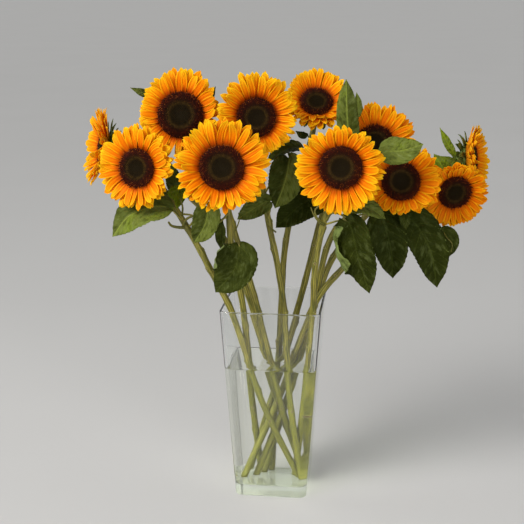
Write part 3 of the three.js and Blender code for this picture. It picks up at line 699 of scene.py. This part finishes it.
def add_leaf(skin, leaf, line, rng):
    start = line[np.argmin(np.abs(line[:, 2] - leaf.start))]
    rib = spline([start, leaf.base, leaf.middle, leaf.tip], LEAF_CURVE_STEPS)
    stalk = resample(rib[: LEAF_CURVE_STEPS + 1], STALK_POINTS)
    midrib = resample(rib[LEAF_CURVE_STEPS:], LEAF_ROWS)
    length = distances(midrib)[-1]
    share = np.linspace(0, 1, LEAF_ROWS)
    rows = share[:, None]
    t = np.linspace(-1, 1, LEAF_COLUMNS)
    away = np.abs(t)
    along = unit(np.gradient(midrib, axis=0))
    left = unit(np.cross(np.array(leaf.face, float), along))
    up = np.cross(along, left)

    teeth = 0.5 - (rows * LEAF_TEETH) % 1
    width = leaf.half * outline_width(NARROW_OUTLINE if leaf.narrow else BROAD_OUTLINE, rows)
    width = np.maximum(width, 0.5)
    reach = away**0.85 * width * (1 + TOOTH_DEPTH * teeth * away**6)

    phase = rng.uniform(0, 6)
    fold = np.radians(LEAF_FOLD + 8 * np.sin(3 * rows + phase))
    rolled = np.where(t < 0, leaf.roll[1], leaf.roll[0])
    rolling = smoothstep(*ROLL_START, rows) * smoothstep(*ROLL_END, rows)
    swell = np.sin(16 * rows - 0.4)
    reach = reach * (1 + (rolled > 0) * ROLL_MORE * rolling * (0.7 + 0.3 * swell))
    crease = CREASE - 0.1 * swell
    curl = smoothstep(crease, crease + CREASE_WIDTH, away) * rolling * (0.95 + 0.05 * swell)
    turn = fold - math.radians(LEAF_DROOP) * away**2 + np.radians(rolled) * curl
    aside, lift = bend_sideways(reach, turn)
    lift = lift + waves(rows, t, width, phase) + veins_relief(rows, reach / length)
    back = (0 if leaf.narrow else LEAF_LOBE) * length * (1 - rows) ** 3 * smoothstep(0.1, 0.9, away)

    grid = (
        midrib[:, None]
        + left[:, None] * aside[..., None]
        + up[:, None] * lift[..., None]
        - along[:, None] * back[..., None]
    )
    thickness = (LEAF_THICK + RIB_THICK * (1 - rows) ** 0.7 * bell(reach, 1.3)) * (1 - 0.5 * away**4)
    # Painted light: how light each half is painted, by which side of the midrib it lies on.
    left_light, right_light = np.broadcast_to(leaf.light, 2)
    light = np.where(t < 0, right_light, left_light)
    add_blade(skin, grid, thickness, stacked(rows, np.sign(t) * reach / length, light), 0, 1)
    add_petiole(skin, stalk, midrib, up[0], leaf.narrow)


def bend_sideways(reach, turn):
    """Lays each half of a row out from the midrib, turning up by the angle given at each column. Returns
    how far aside and how far up the points come to lie."""
    step, angle = np.diff(reach, axis=1), (turn[:, 1:] + turn[:, :-1]) / 2
    moves = np.array([np.abs(step) * np.cos(angle), step * np.sin(angle)])
    places = np.pad(np.cumsum(moves, axis=2), ((0, 0), (0, 0), (1, 0)))
    return places - places[..., LEAF_COLUMNS // 2, None]


def waves(rows, t, width, phase):
    swing = np.sin(11 * rows + phase + 1.3 * np.sign(t)) + 0.5 * np.sin(23 * rows + t)
    return 0.055 * width * swing * np.abs(t) ** 2.2


def veins_relief(along, across):
    """The leaf sinks at its side veins, which bend towards the tip, and swells between them."""
    phase = (along - VEIN_SLANT * across - VEIN_BEND * across**2) * VEINS
    return VEIN_RELIEF * np.sin(math.pi * (phase % 1)) * smoothstep(0, 0.1, across)


def add_petiole(skin, stalk, midrib, up, narrow):
    """The stalk, hollow above, which runs on under the blade as the midrib."""
    run = np.vstack([stalk, midrib[2 : LEAF_ROWS * 3 // 5 : 4] - up * 0.55])
    number = np.arange(len(run))
    fade = np.interp(number, [0, 2, len(stalk), len(run) - 1], [1.3, 1, 0.5 if narrow else 0.8, 0.25])
    turn = turns(PETIOLE_SIDES)
    hollow = 0.16 * bell(turn, 0.7) * (number < len(stalk))[:, None]
    add_stalk(skin, run, up, PETIOLE_RADIUS * fade[:, None] * (1 - hollow), turn, 2)


def build_leaves(skin, flower, rng):
    line = stem_line(flower)
    for leaf in flower.leaves:
        add_leaf(skin, leaf, line, rng)


# ---- Vase and water ----

CORNER_STEPS, RIM_STEPS = 10, 5
FOOT_EDGE, INNER_EDGE = 2.2, 4  # radii of the edges round the foot and round the floor
WALL_LEAN = math.degrees(math.atan((VASE_TOP - VASE_BASE) / 2 / VASE_HEIGHT))
FLAT_STEPS = (5, 9)  # how far in from a rounded edge the flat of the foot or floor has its rings
WATER_OVERLAP = 0.2  # how far the water reaches into the glass, so that no film of air shows
WATER_SIDE_STEPS, WATER_RINGS = 14, 44
MENISCUS_RISE, MENISCUS_REACH = 1.7, 1.5


def plan_ring(height, inset):
    """The vase's rounded square at a height, drawn in by inset, and its outward normals."""
    share = height / VASE_HEIGHT
    half = (VASE_BASE + (VASE_TOP - VASE_BASE) * share) / 2 - inset
    corner = max(CORNER_BASE + (CORNER_TOP - CORNER_BASE) * share - inset, 1)
    quarter = np.linspace(0, math.pi / 2, CORNER_STEPS + 1)
    angle = np.concatenate([quarter + number * math.pi / 2 for number in range(4)])
    centres = np.repeat([(1, 1, 0), (-1, 1, 0), (-1, -1, 0), (1, -1, 0)], CORNER_STEPS + 1, axis=0)
    out = stacked(np.cos(angle), np.sin(angle), 0)
    return centres * (half - corner) + out * corner + [0, 0, height], out


def split_sides(ring, parts):
    """Cuts the four flat sides of a plan ring into shorter steps."""
    made = []
    corner = CORNER_STEPS + 1
    steps = np.linspace(0, 1, parts + 1)[1:-1, None]
    for quarter in range(4):
        block = ring[quarter * corner : (quarter + 1) * corner]
        following = ring[(quarter + 1) * corner % len(ring)]
        made += [block, block[-1] * (1 - steps) + following * steps]
    return np.vstack(made)


def arc(inset, height, radius, start, end, steps=RIM_STEPS, facing=1):
    """(inset, height, outward share, upward share) on a rounded edge round a centre, by angles in degrees
    where 0 looks out of the vase and 90 looks up. Facing -1 turns the normals towards the centre."""
    for angle in np.radians(np.linspace(start, end, steps + 1)):
        outward, upward = math.cos(angle), math.sin(angle)
        yield inset - radius * outward, height + radius * upward, facing * outward, facing * upward


def sweep(profile, parts=1):
    """Carries a profile's points round the vase's plan. Returns the rings and their exact normals."""
    rings, normals = [], []
    for inset, height, outward, upward in profile:
        ring, out = plan_ring(height, inset)
        rings.append(split_sides(ring, parts))
        normals.append(split_sides(out * outward + [0, 0, upward], parts))
    return np.array(rings), unit(np.array(normals).reshape(-1, 3))


def build_vase(glass, foot):
    """The vase. Its solid foot has a material of its own, a little cloudy and green."""
    rim = VASE_WALL / 2
    inside = VASE_WALL + INNER_EDGE
    profile = [(FOOT_EDGE + step, 0, 0, -1) for step in FLAT_STEPS[::-1]]
    profile += arc(FOOT_EDGE, FOOT_EDGE, FOOT_EDGE, -90, -WALL_LEAN)
    profile.append((0, VASE_FLOOR, *profile[-1][2:]))
    profile += arc(rim, VASE_HEIGHT - rim, rim, -WALL_LEAN, 180 + WALL_LEAN)
    profile += arc(inside, VASE_FLOOR + INNER_EDGE, INNER_EDGE, -WALL_LEAN, -90, RIM_STEPS + 1, facing=-1)
    profile += [(inside + step, VASE_FLOOR, 0, 1) for step in FLAT_STEPS]
    rings, normals = sweep(profile)
    skin = Skin()
    add_tube(skin, rings)
    vase = skin.piece("glass_vase", [glass, foot], "glass", "vase")
    for face in vase.data.polygons:
        if face.center.z < MM * (VASE_FLOOR + 1):
            face.material_index = 1
    vase.data.normals_split_custom_set_from_vertices(normals.tolist())


def build_water(material):
    """Water round the stems, drawn up a little where it meets the glass and each stem."""
    wall, floor = VASE_WALL - WATER_OVERLAP, VASE_FLOOR - WATER_OVERLAP
    edge = INNER_EDGE + WATER_OVERLAP
    profile = list(arc(wall + edge, floor + edge, edge, -90, -WALL_LEAN, RIM_STEPS + 1))
    profile.append((wall, WATER_LEVEL - 0.3, *profile[-1][2:]))
    walls, normals = sweep(profile, WATER_SIDE_STEPS)
    top = split_sides(plan_ring(WATER_LEVEL, wall)[0], WATER_SIDE_STEPS)
    shares = 1 - np.linspace(0, 1, WATER_RINGS) ** 1.5 * 0.995
    flat = np.array([top * [share, share, 1] for share in shares])
    flat[..., 2] += meniscus(flat, top)
    skin = Skin()
    add_tube(skin, np.concatenate([walls, flat]))
    water = skin.piece("vase_water", [material], "water", "water")
    found = np.array([normal.vector for normal in water.data.vertex_normals])
    found[: len(normals)] = normals
    water.data.normals_split_custom_set_from_vertices(found.tolist())


def meniscus(points, wall):
    """How far the water is drawn up at these points."""
    flat = points[..., :2]
    gap = np.min(np.linalg.norm(flat[..., None, :] - wall[:, :2], axis=-1), axis=-1)
    for flower in FLOWERS:
        line = stem_line(flower)
        centre = line[np.argmin(np.abs(line[:, 2] - WATER_LEVEL))][:2]
        gap = np.minimum(gap, np.maximum(np.linalg.norm(flat - centre, axis=-1) - STEM_FOOT, 0))
    return MENISCUS_RISE * np.exp(-gap / MENISCUS_REACH)


# ---- Materials ----


def opaque(colour):
    return (*colour, 1) if isinstance(colour, tuple) and len(colour) == 3 else colour


class Value:
    """A number or colour that a material's nodes make, with arithmetic of its own."""

    def __init__(self, shader, socket):
        self.shader, self.socket = shader, socket

    def __add__(self, other):
        return self.shader.math("ADD", self, other)

    def __sub__(self, other):
        return self.shader.math("SUBTRACT", self, other)

    def __mul__(self, other):
        return self.shader.math("MULTIPLY", self, other)

    def __abs__(self):
        return self.shader.math("ABSOLUTE", self)

    def span(self, low, high, start=0.0, end=1.0):
        """Goes smoothly from start to end as this value goes from low to high."""
        inputs = {"Value": self, "From Min": low, "From Max": high, "To Min": start, "To Max": end}
        return self.shader.value("MapRange", inputs, "Result", interpolation_type="SMOOTHSTEP")

    def toward(self, colour, share):
        """This colour with a share of another mixed in."""
        return self.shader.mix(share, self, colour)


class Shader:
    """A material's or a world's node tree, with short names for the nodes that are used here."""

    def __init__(self, name, world=False):
        self.owner = (bpy.data.worlds if world else bpy.data.materials).new(name)
        self.owner.use_nodes = True
        self.tree = self.owner.node_tree

    def feed(self, socket, value):
        value = value.socket if isinstance(value, Value) else value
        if isinstance(value, bpy.types.NodeSocket):
            self.tree.links.new(value, socket)
        else:
            socket.default_value = value

    def node(self, kind, inputs, **settings):
        made = self.tree.nodes.new("ShaderNode" + kind)
        for key, value in settings.items():
            setattr(made, key, value)
        for key, value in inputs.items():
            self.feed(made.inputs[key], value)
        return made

    def value(self, kind, inputs, output=0, **settings):
        return Value(self, self.node(kind, inputs, **settings).outputs[output])

    def set(self, node="Principled BSDF", **values):
        """Feeds a node's sockets by name, with _ for a space."""
        for key, value in values.items():
            self.feed(self.tree.nodes[node].inputs[key.replace("_", " ")], value)
        return self.owner

    def math(self, operation, *values):
        return self.value("Math", dict(enumerate(values)), operation=operation)

    def split(self, vector):
        return [Value(self, axis) for axis in self.node("SeparateXYZ", {0: vector}).outputs]

    def paint(self):
        """The three numbers that each point carries."""
        return self.split(self.value("Attribute", {}, "Vector", attribute_name="paint"))

    def vector(self, *axes):
        return self.value("CombineXYZ", dict(enumerate(axes)))

    def noise(self, scale, detail=3.0, roughness=0.55, place=None):
        """Noise in a space of its own, or else in the object's."""
        place = place or self.value("TexCoord", {}, "Object")
        inputs = {"Vector": place, "Scale": scale, "Detail": detail, "Roughness": roughness}
        return self.value("TexNoise", inputs, "Fac")

    def streaks(self, *parts, scale=1.0, **settings):
        """Noise in the space of three values, each stretched by a factor."""
        return self.noise(scale, place=self.vector(*(value * factor for value, factor in parts)), **settings)

    def mix(self, share, first, second, blend="MIX"):
        inputs = {0: share, 6: opaque(first), 7: opaque(second)}
        return self.value("Mix", inputs, 2, data_type="RGBA", blend_type=blend)

    def ramp(self, factor, stops):
        made = self.node("ValToRGB", {0: factor})
        elements = made.color_ramp.elements
        while len(elements) < len(stops):
            elements.new(0.5)
        for element, (place, colour) in zip(elements, stops):
            element.position = place
            element.color = opaque(colour)
        return Value(self, made.outputs[0])

    def bump(self, height, depth):
        return self.value("Bump", {"Height": height, "Distance": depth * MM, "Strength": 1.0})

    def blend_in(self, share, other):
        """Mixes a share of another shader into the surface."""
        surface = self.tree.nodes["Principled BSDF"].outputs[0]
        return self.set("Material Output", Surface=self.value("MixShader", {0: share, 1: surface, 2: other}))

    def thin(self, share, colour):
        """Lets a share of the light through the blade, in this colour."""
        return self.blend_in(share, self.value("BsdfTranslucent", {"Color": colour}))


# The petals' own yellow at the tip, also used as a painted highlight along their margins.
PETAL_TIP_AND_HIGHLIGHT = (1.0, 0.72, 0.01)
PETAL_RAMP_WITH_ROOT_SHADE = [  # from root to tip; its dark red stops at the root are painted shade where the disc's edge overhangs, over the petals' own deeper orange there
    (0.11, (0.12, 0.01, 0.0)), (0.24, (0.5, 0.06, 0.0)), (0.4, (0.9, 0.23, 0.0)),
    (0.58, (1.0, 0.35, 0.001)), (1.0, PETAL_TIP_AND_HIGHLIGHT),
]
PETAL_STREAK = (0.72, 0.13, 0.0)
PETAL_GROOVE_SHADE = (0.55, 0.09, 0.0)
PETAL_DEEP_AND_SHADED = (0.84, 0.18, 0.0)
PETAL_BACK = (0.95, 0.5, 0.02)
PETAL_LIT = (1.0, 0.5, 0.002)
PETAL_GLOSS = (1.0, 0.72, 0.2)


def petal_material(name, under):
    shader = Shader(name)
    along, across, shade = shader.paint()
    streaks = shader.streaks((across, 16.0), (along, 1.6), (shade, 40.0))
    margin = abs(across - 0.5)
    # Painted shade: the two lengthwise grooves are darkened, less so near the tip.
    groove = abs(margin - 0.22).span(0.06, 0.0) * along.span(1.0, 0.75, 0.0, 0.7)
    colour = shader.ramp(along, PETAL_RAMP_WITH_ROOT_SHADE)
    # Partly tone, partly painted shade: petals of the warmer, more shaded blooms turn a deeper, darker
    # orange.
    colour = colour.toward(PETAL_DEEP_AND_SHADED, shade.span(0.15, 1.0) * 0.75)
    colour = colour.toward(PETAL_STREAK, streaks.span(0.4, 0.75, 0.0, 0.55))
    # Painted highlight: the margins, away from the root, are lightened towards yellow.
    colour = colour.toward(PETAL_TIP_AND_HIGHLIGHT, margin.span(0.32, 0.5, 0.0, 0.6) * along.span(0.15, 0.5))
    colour = colour.toward(PETAL_GROOVE_SHADE, groove)
    if under:
        colour = colour.toward(PETAL_BACK, 0.35)
    shader.set(
        Base_Color=colour,
        Roughness=streaks.span(0.3, 0.7, 0.42, 0.6),
        Specular_IOR_Level=0.22,
        Specular_Tint=opaque(PETAL_GLOSS),
        Normal=shader.bump(streaks, 0.35),
    )
    return shader.thin(0.34, colour.toward(PETAL_LIT, 0.5))


# Leaf greens. The dark and pale ones are also the shaded and lit ends of the painted light; the glow and the
# gloss are painted light.
LEAF_DARK_AND_SHADED = (0.015, 0.019, 0.0013)
LEAF_PALE_AND_LIT = (0.13, 0.158, 0.028)
LEAF_PAINTED_GLOW = (0.2, 0.28, 0.008)
LEAF_PAINTED_GLOSS = (0.19, 0.225, 0.075)
LEAF_UNDER = (0.17, 0.22, 0.065)
LEAF_VEIN = (0.12, 0.16, 0.03)
LEAF_LIT = (0.2, 0.34, 0.01)
LEAF_TINT = (0.75, 1.0, 0.4)
VEIN_LIGHTENING = (1.9, 1.8, 1.6)


def leaf_material(name, under):
    shader = Shader(name)
    along, across, shade = shader.paint()
    away = abs(across)
    rib = away.span(0.014, 0.004)
    phase = (along - away * VEIN_SLANT - away * away * VEIN_BEND) * VEINS + 0.5
    veins = abs(shader.math("FRACT", phase) - 0.5).span(0.085, 0.02)
    cells = {"Vector": shader.vector(along, across), "Scale": 26.0}
    net = shader.value("TexVoronoi", cells, "Distance", feature="DISTANCE_TO_EDGE").span(0.07, 0.0)
    painted_sheen = shader.streaks((along - away, 9.0), (across, 14.0), (shade, 25.0))
    blotches = shader.noise(45.0, 4.0)
    if under:
        colour = shader.mix(blotches.span(0.3, 0.7, 0.0, 0.5), LEAF_UNDER, LEAF_PALE_AND_LIT)
    else:
        # Painted light and shade: each half's painted lightness, with random blotches, takes the green from
        # dark through pale to a painted yellow-green glow.
        painted_light_and_tone = shade * 0.7 + blotches * 0.3
        colour = shader.mix(painted_light_and_tone.span(0.2, 0.7), LEAF_DARK_AND_SHADED, LEAF_PALE_AND_LIT)
        colour = colour.toward(LEAF_PAINTED_GLOW, painted_light_and_tone.span(0.7, 0.9))
    paler = shader.mix(1.0, colour, VEIN_LIGHTENING, "MULTIPLY").toward(LEAF_VEIN, 0.3)
    colour = colour.toward(paler, net * 0.2)
    # Painted shade and painted gloss: streaks darkened towards dark green, and glossy grey-green streaks that
    # are stronger on the lighter leaves.
    colour = colour.toward(LEAF_DARK_AND_SHADED, painted_sheen.span(0.5, 0.34, 0.0, 0.55))
    colour = colour.toward(LEAF_PAINTED_GLOSS, painted_sheen.span(0.52, 0.7) * shade.span(0.0, 1.0, 0.2, 0.6))
    colour = colour.toward(paler, rib * shade.span(0.1, 0.7, 0.35, 0.9))
    colour = colour.toward(paler, veins * blotches.span(0.4, 0.62, 0.1, 0.55))
    relief = shader.noise(900.0, 2.0) - veins * (-1.5 if under else 1.5) - net * 0.6
    relief = relief + shader.noise(110.0, 2.0) * 9.0
    shader.set(
        Base_Color=colour,
        Roughness=blotches.span(0.3, 0.7, 0.26, 0.44),
        Specular_IOR_Level=0.11,
        Specular_Tint=opaque(LEAF_TINT),
        Normal=shader.bump(relief, 0.3),
    )
    return shader.thin(0.16, colour.toward(LEAF_LIT, 0.5))


STEM_GREEN = (0.065, 0.07, 0.009)
STEM_PALE = (0.29, 0.25, 0.04)
STEM_WET = (0.24, 0.25, 0.015)
STEM_BLOTCH = (0.1, 0.075, 0.016)
SCAR_RAMP = [  # from its middle outwards
    (0.1, (0.07, 0.045, 0.015)), (0.5, (0.16, 0.12, 0.03)), (0.8, (0.3, 0.3, 0.06)), (1.0, STEM_GREEN),
]
SCAR_GRAIN = (0.14, 0.1, 0.04)
HAIR_TONES = (0.26, 0.28, 0.12), (0.42, 0.42, 0.22)
BRACT_TONES = (0.075, 0.105, 0.012), (0.24, 0.31, 0.07)
BRACT_TIP = (0.03, 0.05, 0.01)


def stem_material():
    shader = Shader("stem_green")
    x, y, level = shader.paint()
    fibres = shader.streaks((x, 3.0), (y, 3.0), (level, 0.22), scale=1.6, detail=4.0, roughness=0.65)
    colour = shader.mix(fibres.span(0.4, 0.62), STEM_GREEN, STEM_PALE)
    colour = colour.toward(STEM_BLOTCH, shader.noise(30.0, 4.0).span(0.5, 0.75, 0.0, 0.5))
    height = shader.split(shader.value("TexCoord", {}, "Object"))[2]
    wet = height.span(MM * (WATER_LEVEL + 4), MM * (WATER_LEVEL - 12), 0.0, 0.7)
    colour = colour.toward(shader.mix(fibres, STEM_GREEN, STEM_WET), wet)
    relief = shader.bump(fibres, 0.4)
    return shader.set(Base_Color=colour, Roughness=0.5, Specular_IOR_Level=0.3, Normal=relief)


def scar_material():
    shader = Shader("leaf_scar")
    grain = shader.noise(400.0)
    colour = shader.ramp(shader.paint()[0], SCAR_RAMP)
    colour = colour.toward(SCAR_GRAIN, grain.span(0.45, 0.7, 0.0, 0.5))
    return shader.set(Base_Color=colour, Roughness=0.7, Normal=shader.bump(grain, 0.3))


def hair_material():
    shader = Shader("plant_hair")
    return shader.set(Base_Color=shader.mix(shader.noise(60.0), *HAIR_TONES), Roughness=0.6)


def bract_material(name, under):
    shader = Shader(name)
    along, across, shade = shader.paint()
    ribs = shader.streaks((across, 9.0), (along, 1.4), (shade, 30.0))
    colour = shader.mix(ribs.span(0.35, 0.7), *BRACT_TONES)
    colour = colour.toward(BRACT_TIP, along.span(0.6, 1.0, 0.0, 0.35))
    if under:
        colour = colour.toward(LEAF_UNDER, 0.25)
    shader.set(Base_Color=colour, Roughness=0.6, Specular_IOR_Level=0.25, Normal=shader.bump(ribs, 0.3))
    return shader.thin(0.12, colour)


FLORET_BODY = [  # from the middle of the disc to its edge, as is the next
    (0.0, (0.014, 0.01, 0.004)), (0.42, (0.016, 0.011, 0.004)), (0.54, (0.06, 0.035, 0.01)),
    (0.64, (0.022, 0.009, 0.004)), (0.8, (0.024, 0.005, 0.003)), (1.0, (0.04, 0.007, 0.003)),
]
FLORET_TIPS = [
    (0.0, (0.034, 0.023, 0.006)), (0.42, (0.03, 0.018, 0.005)), (0.54, (0.12, 0.066, 0.012)),
    (0.66, (0.05, 0.013, 0.005)), (0.82, (0.1, 0.012, 0.004)), (1.0, (0.17, 0.026, 0.004)),
]
FLORET_DARK = (0.014, 0.006, 0.004)
POLLEN = (0.42, 0.13, 0.02)


def floret_material():
    shader = Shader("disc_floret")
    share, level, shade = shader.paint()
    body, tips = shader.ramp(share, FLORET_BODY), shader.ramp(share, FLORET_TIPS)
    colour = body.toward(tips, level.span(0.3, 1.0))
    colour = colour.toward(FLORET_DARK, shade.span(0.4, 0.9, 0.0, 0.7))
    speck = shade.span(0.22, 0.1) * level.span(0.5, 1.0) * share.span(0.5, 0.9, 0.05, 0.6)
    colour = colour.toward(POLLEN, speck)
    relief = shader.bump(shader.noise(1500.0, 2.0), 0.15)
    return shader.set(Base_Color=colour, Roughness=0.7, Specular_IOR_Level=0.05, Normal=relief)


GLASS, FOOT_GLASS, GLASS_SHADE = (0.98, 0.99, 0.98), (0.8, 0.85, 0.74), (0.87, 0.88, 0.87)
WATER, WATER_SHADE = (0.98, 0.985, 0.93), (0.94, 0.94, 0.91)
GLASS_IOR, WATER_IOR = 1.5, 1.333
GLASS_RIPPLE = 0.02
FOOT_CLARITY = 0.84


def clear_material(name, colour, shade, ior, ripple, clarity=1.0):
    """Glass or water. Lamps shine through it as through a pane of this shade, so what stands in it is lit."""
    shader = Shader(name)
    shader.set(
        Base_Color=opaque(colour),
        Roughness=0.0,
        IOR=ior,
        Specular_IOR_Level=0.3,
        Transmission_Weight=clarity,
        Normal=shader.bump(shader.noise(9.0, 2.0), ripple),
    )
    is_lamp_ray = shader.value("LightPath", {}, "Is Shadow Ray")
    return shader.blend_in(is_lamp_ray, shader.value("BsdfTransparent", {"Color": opaque(shade)}))


# ---- Studio ----

FLOOR_SIDE, FLOOR_DROP = 120_000, 0.2
FLOOR_TONES = (0.48, 0.477, 0.47), (0.51, 0.507, 0.5)
WORLD_COLOUR = (0.63, 0.64, 0.65, 1)
WORLD_RANGE = (-0.5, 0.6, 0.34, 0.76)  # how far to the back a ray looks, from and to, and the light there
LIGHTS_AIM = (0, 0, 420)
LIGHTS = [  # name, kind, place, power, colour and size, in metres or as an angle
    ("window_light", "AREA", (-1700, -1650, 1700), 41, (1.0, 0.98, 0.95), {"size": 1.4, "size_y": 1.4}),
    ("front_fill", "AREA", (1300, -2200, 900), 26, (1.0, 0.98, 0.96), {"size": 1.6, "size_y": 1.2}),
    ("sky_light", "SUN", (-1400, -1500, 2100), 2.2, (1.0, 0.985, 0.96), {"angle": math.radians(35)}),
]


def add_camera():
    camera = new_object("camera", bpy.data.cameras.new("camera"))
    camera.data.sensor_width = SENSOR
    camera.data.lens = SENSOR * FOCAL_PIXELS / PHOTO_SIDE
    camera.data.clip_end = CAMERA_RANGE
    camera.location = [MM * place for place in CAMERA_PLACE]
    camera.rotation_euler = (math.radians(90 - CAMERA_PITCH), 0, math.radians(CAMERA_TURN))
    bpy.context.scene.camera = camera


def add_light(name, kind, place, power, colour, size):
    """A light at a place, turned to shine at the bunch."""
    light = new_object(name, bpy.data.lights.new(name, kind))
    if kind == "AREA":
        light.data.shape = "RECTANGLE"
    for key, value in {"energy": power, "color": colour, **size}.items():
        setattr(light.data, key, value)
    light.location = [MM * length for length in place]
    x, y, z = unit(np.array(LIGHTS_AIM, float) - place)
    light.rotation_euler = (math.acos(-z), 0, math.atan2(y, x) - math.pi / 2)


def add_floor():
    shader = Shader("studio_floor")
    tone = shader.mix(shader.noise(1.5, 2.0), *FLOOR_TONES)
    mesh = bpy.data.meshes.new("studio_floor")
    half = MM * FLOOR_SIDE / 2
    corners = [(-half, -half, 0), (half, -half, 0), (half, half, 0), (-half, half, 0)]
    mesh.from_pydata(corners, [], [(0, 1, 2, 3)])
    mesh.materials.append(shader.set(Base_Color=tone, Roughness=0.8))
    floor = new_object("studio_floor", mesh)
    floor.location.z = -MM * FLOOR_DROP


def add_studio():
    """Plain floor, soft lights, and even light from all round that is strongest behind the bunch."""
    world = Shader("studio", world=True)
    back = world.split(world.value("TexCoord", {}, "Generated"))[1]
    strength = world.value("MapRange", dict(enumerate([back, *WORLD_RANGE])), "Result")
    bpy.context.scene.world = world.set("Background", Color=WORLD_COLOUR, Strength=strength)
    bpy.context.scene.view_settings.view_transform = "Standard"
    for light in LIGHTS:
        add_light(*light)
    add_floor()


# ---- The whole ----

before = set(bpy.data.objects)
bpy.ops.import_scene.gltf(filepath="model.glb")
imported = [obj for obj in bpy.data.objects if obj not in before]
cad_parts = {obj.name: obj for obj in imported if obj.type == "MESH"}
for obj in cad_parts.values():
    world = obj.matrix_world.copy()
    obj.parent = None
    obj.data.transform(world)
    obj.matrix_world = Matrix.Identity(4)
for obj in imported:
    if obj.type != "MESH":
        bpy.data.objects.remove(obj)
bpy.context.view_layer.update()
add_camera()
add_studio()

stem_green = stem_material()
petal_pair = [petal_material("petal_top", False), petal_material("petal_back", True)]
bract_pair = [bract_material("bract_back", True), bract_material("bract_top", False)]
leaf_pair = [leaf_material("leaf_top", False), leaf_material("leaf_back", True)]
pieces = [  # name, how it is built, materials, slot and the CAD node that it replaces
    ("petals_", build_petals, petal_pair, "petal", "ray_petals_"),
    ("florets_", build_disc, [floret_material()], "seed", "seed_disc_"),
    ("cup_", build_cup, bract_pair, "leaf", "leafy_stem_"),
    ("stem_", build_stem, [stem_green, scar_material(), hair_material()], "leaf", "leafy_stem_"),
    ("leaves_", build_leaves, [*leaf_pair, stem_green], "leaf", "leafy_stem_"),
]
for each in FLOWERS:
    generator = random.Random("flower " + each.name)
    for name, build, materials, slot, node in pieces:
        gathered = Skin()
        build(gathered, each, generator)
        gathered.piece(name + each.name, materials, slot, node + each.name)
build_vase(
    clear_material("vase_glass", GLASS, GLASS_SHADE, GLASS_IOR, GLASS_RIPPLE),
    clear_material("vase_foot", FOOT_GLASS, GLASS_SHADE, GLASS_IOR, GLASS_RIPPLE, FOOT_CLARITY),
)
build_water(clear_material("vase_water", WATER, WATER_SHADE, WATER_IOR, ripple=0.0))
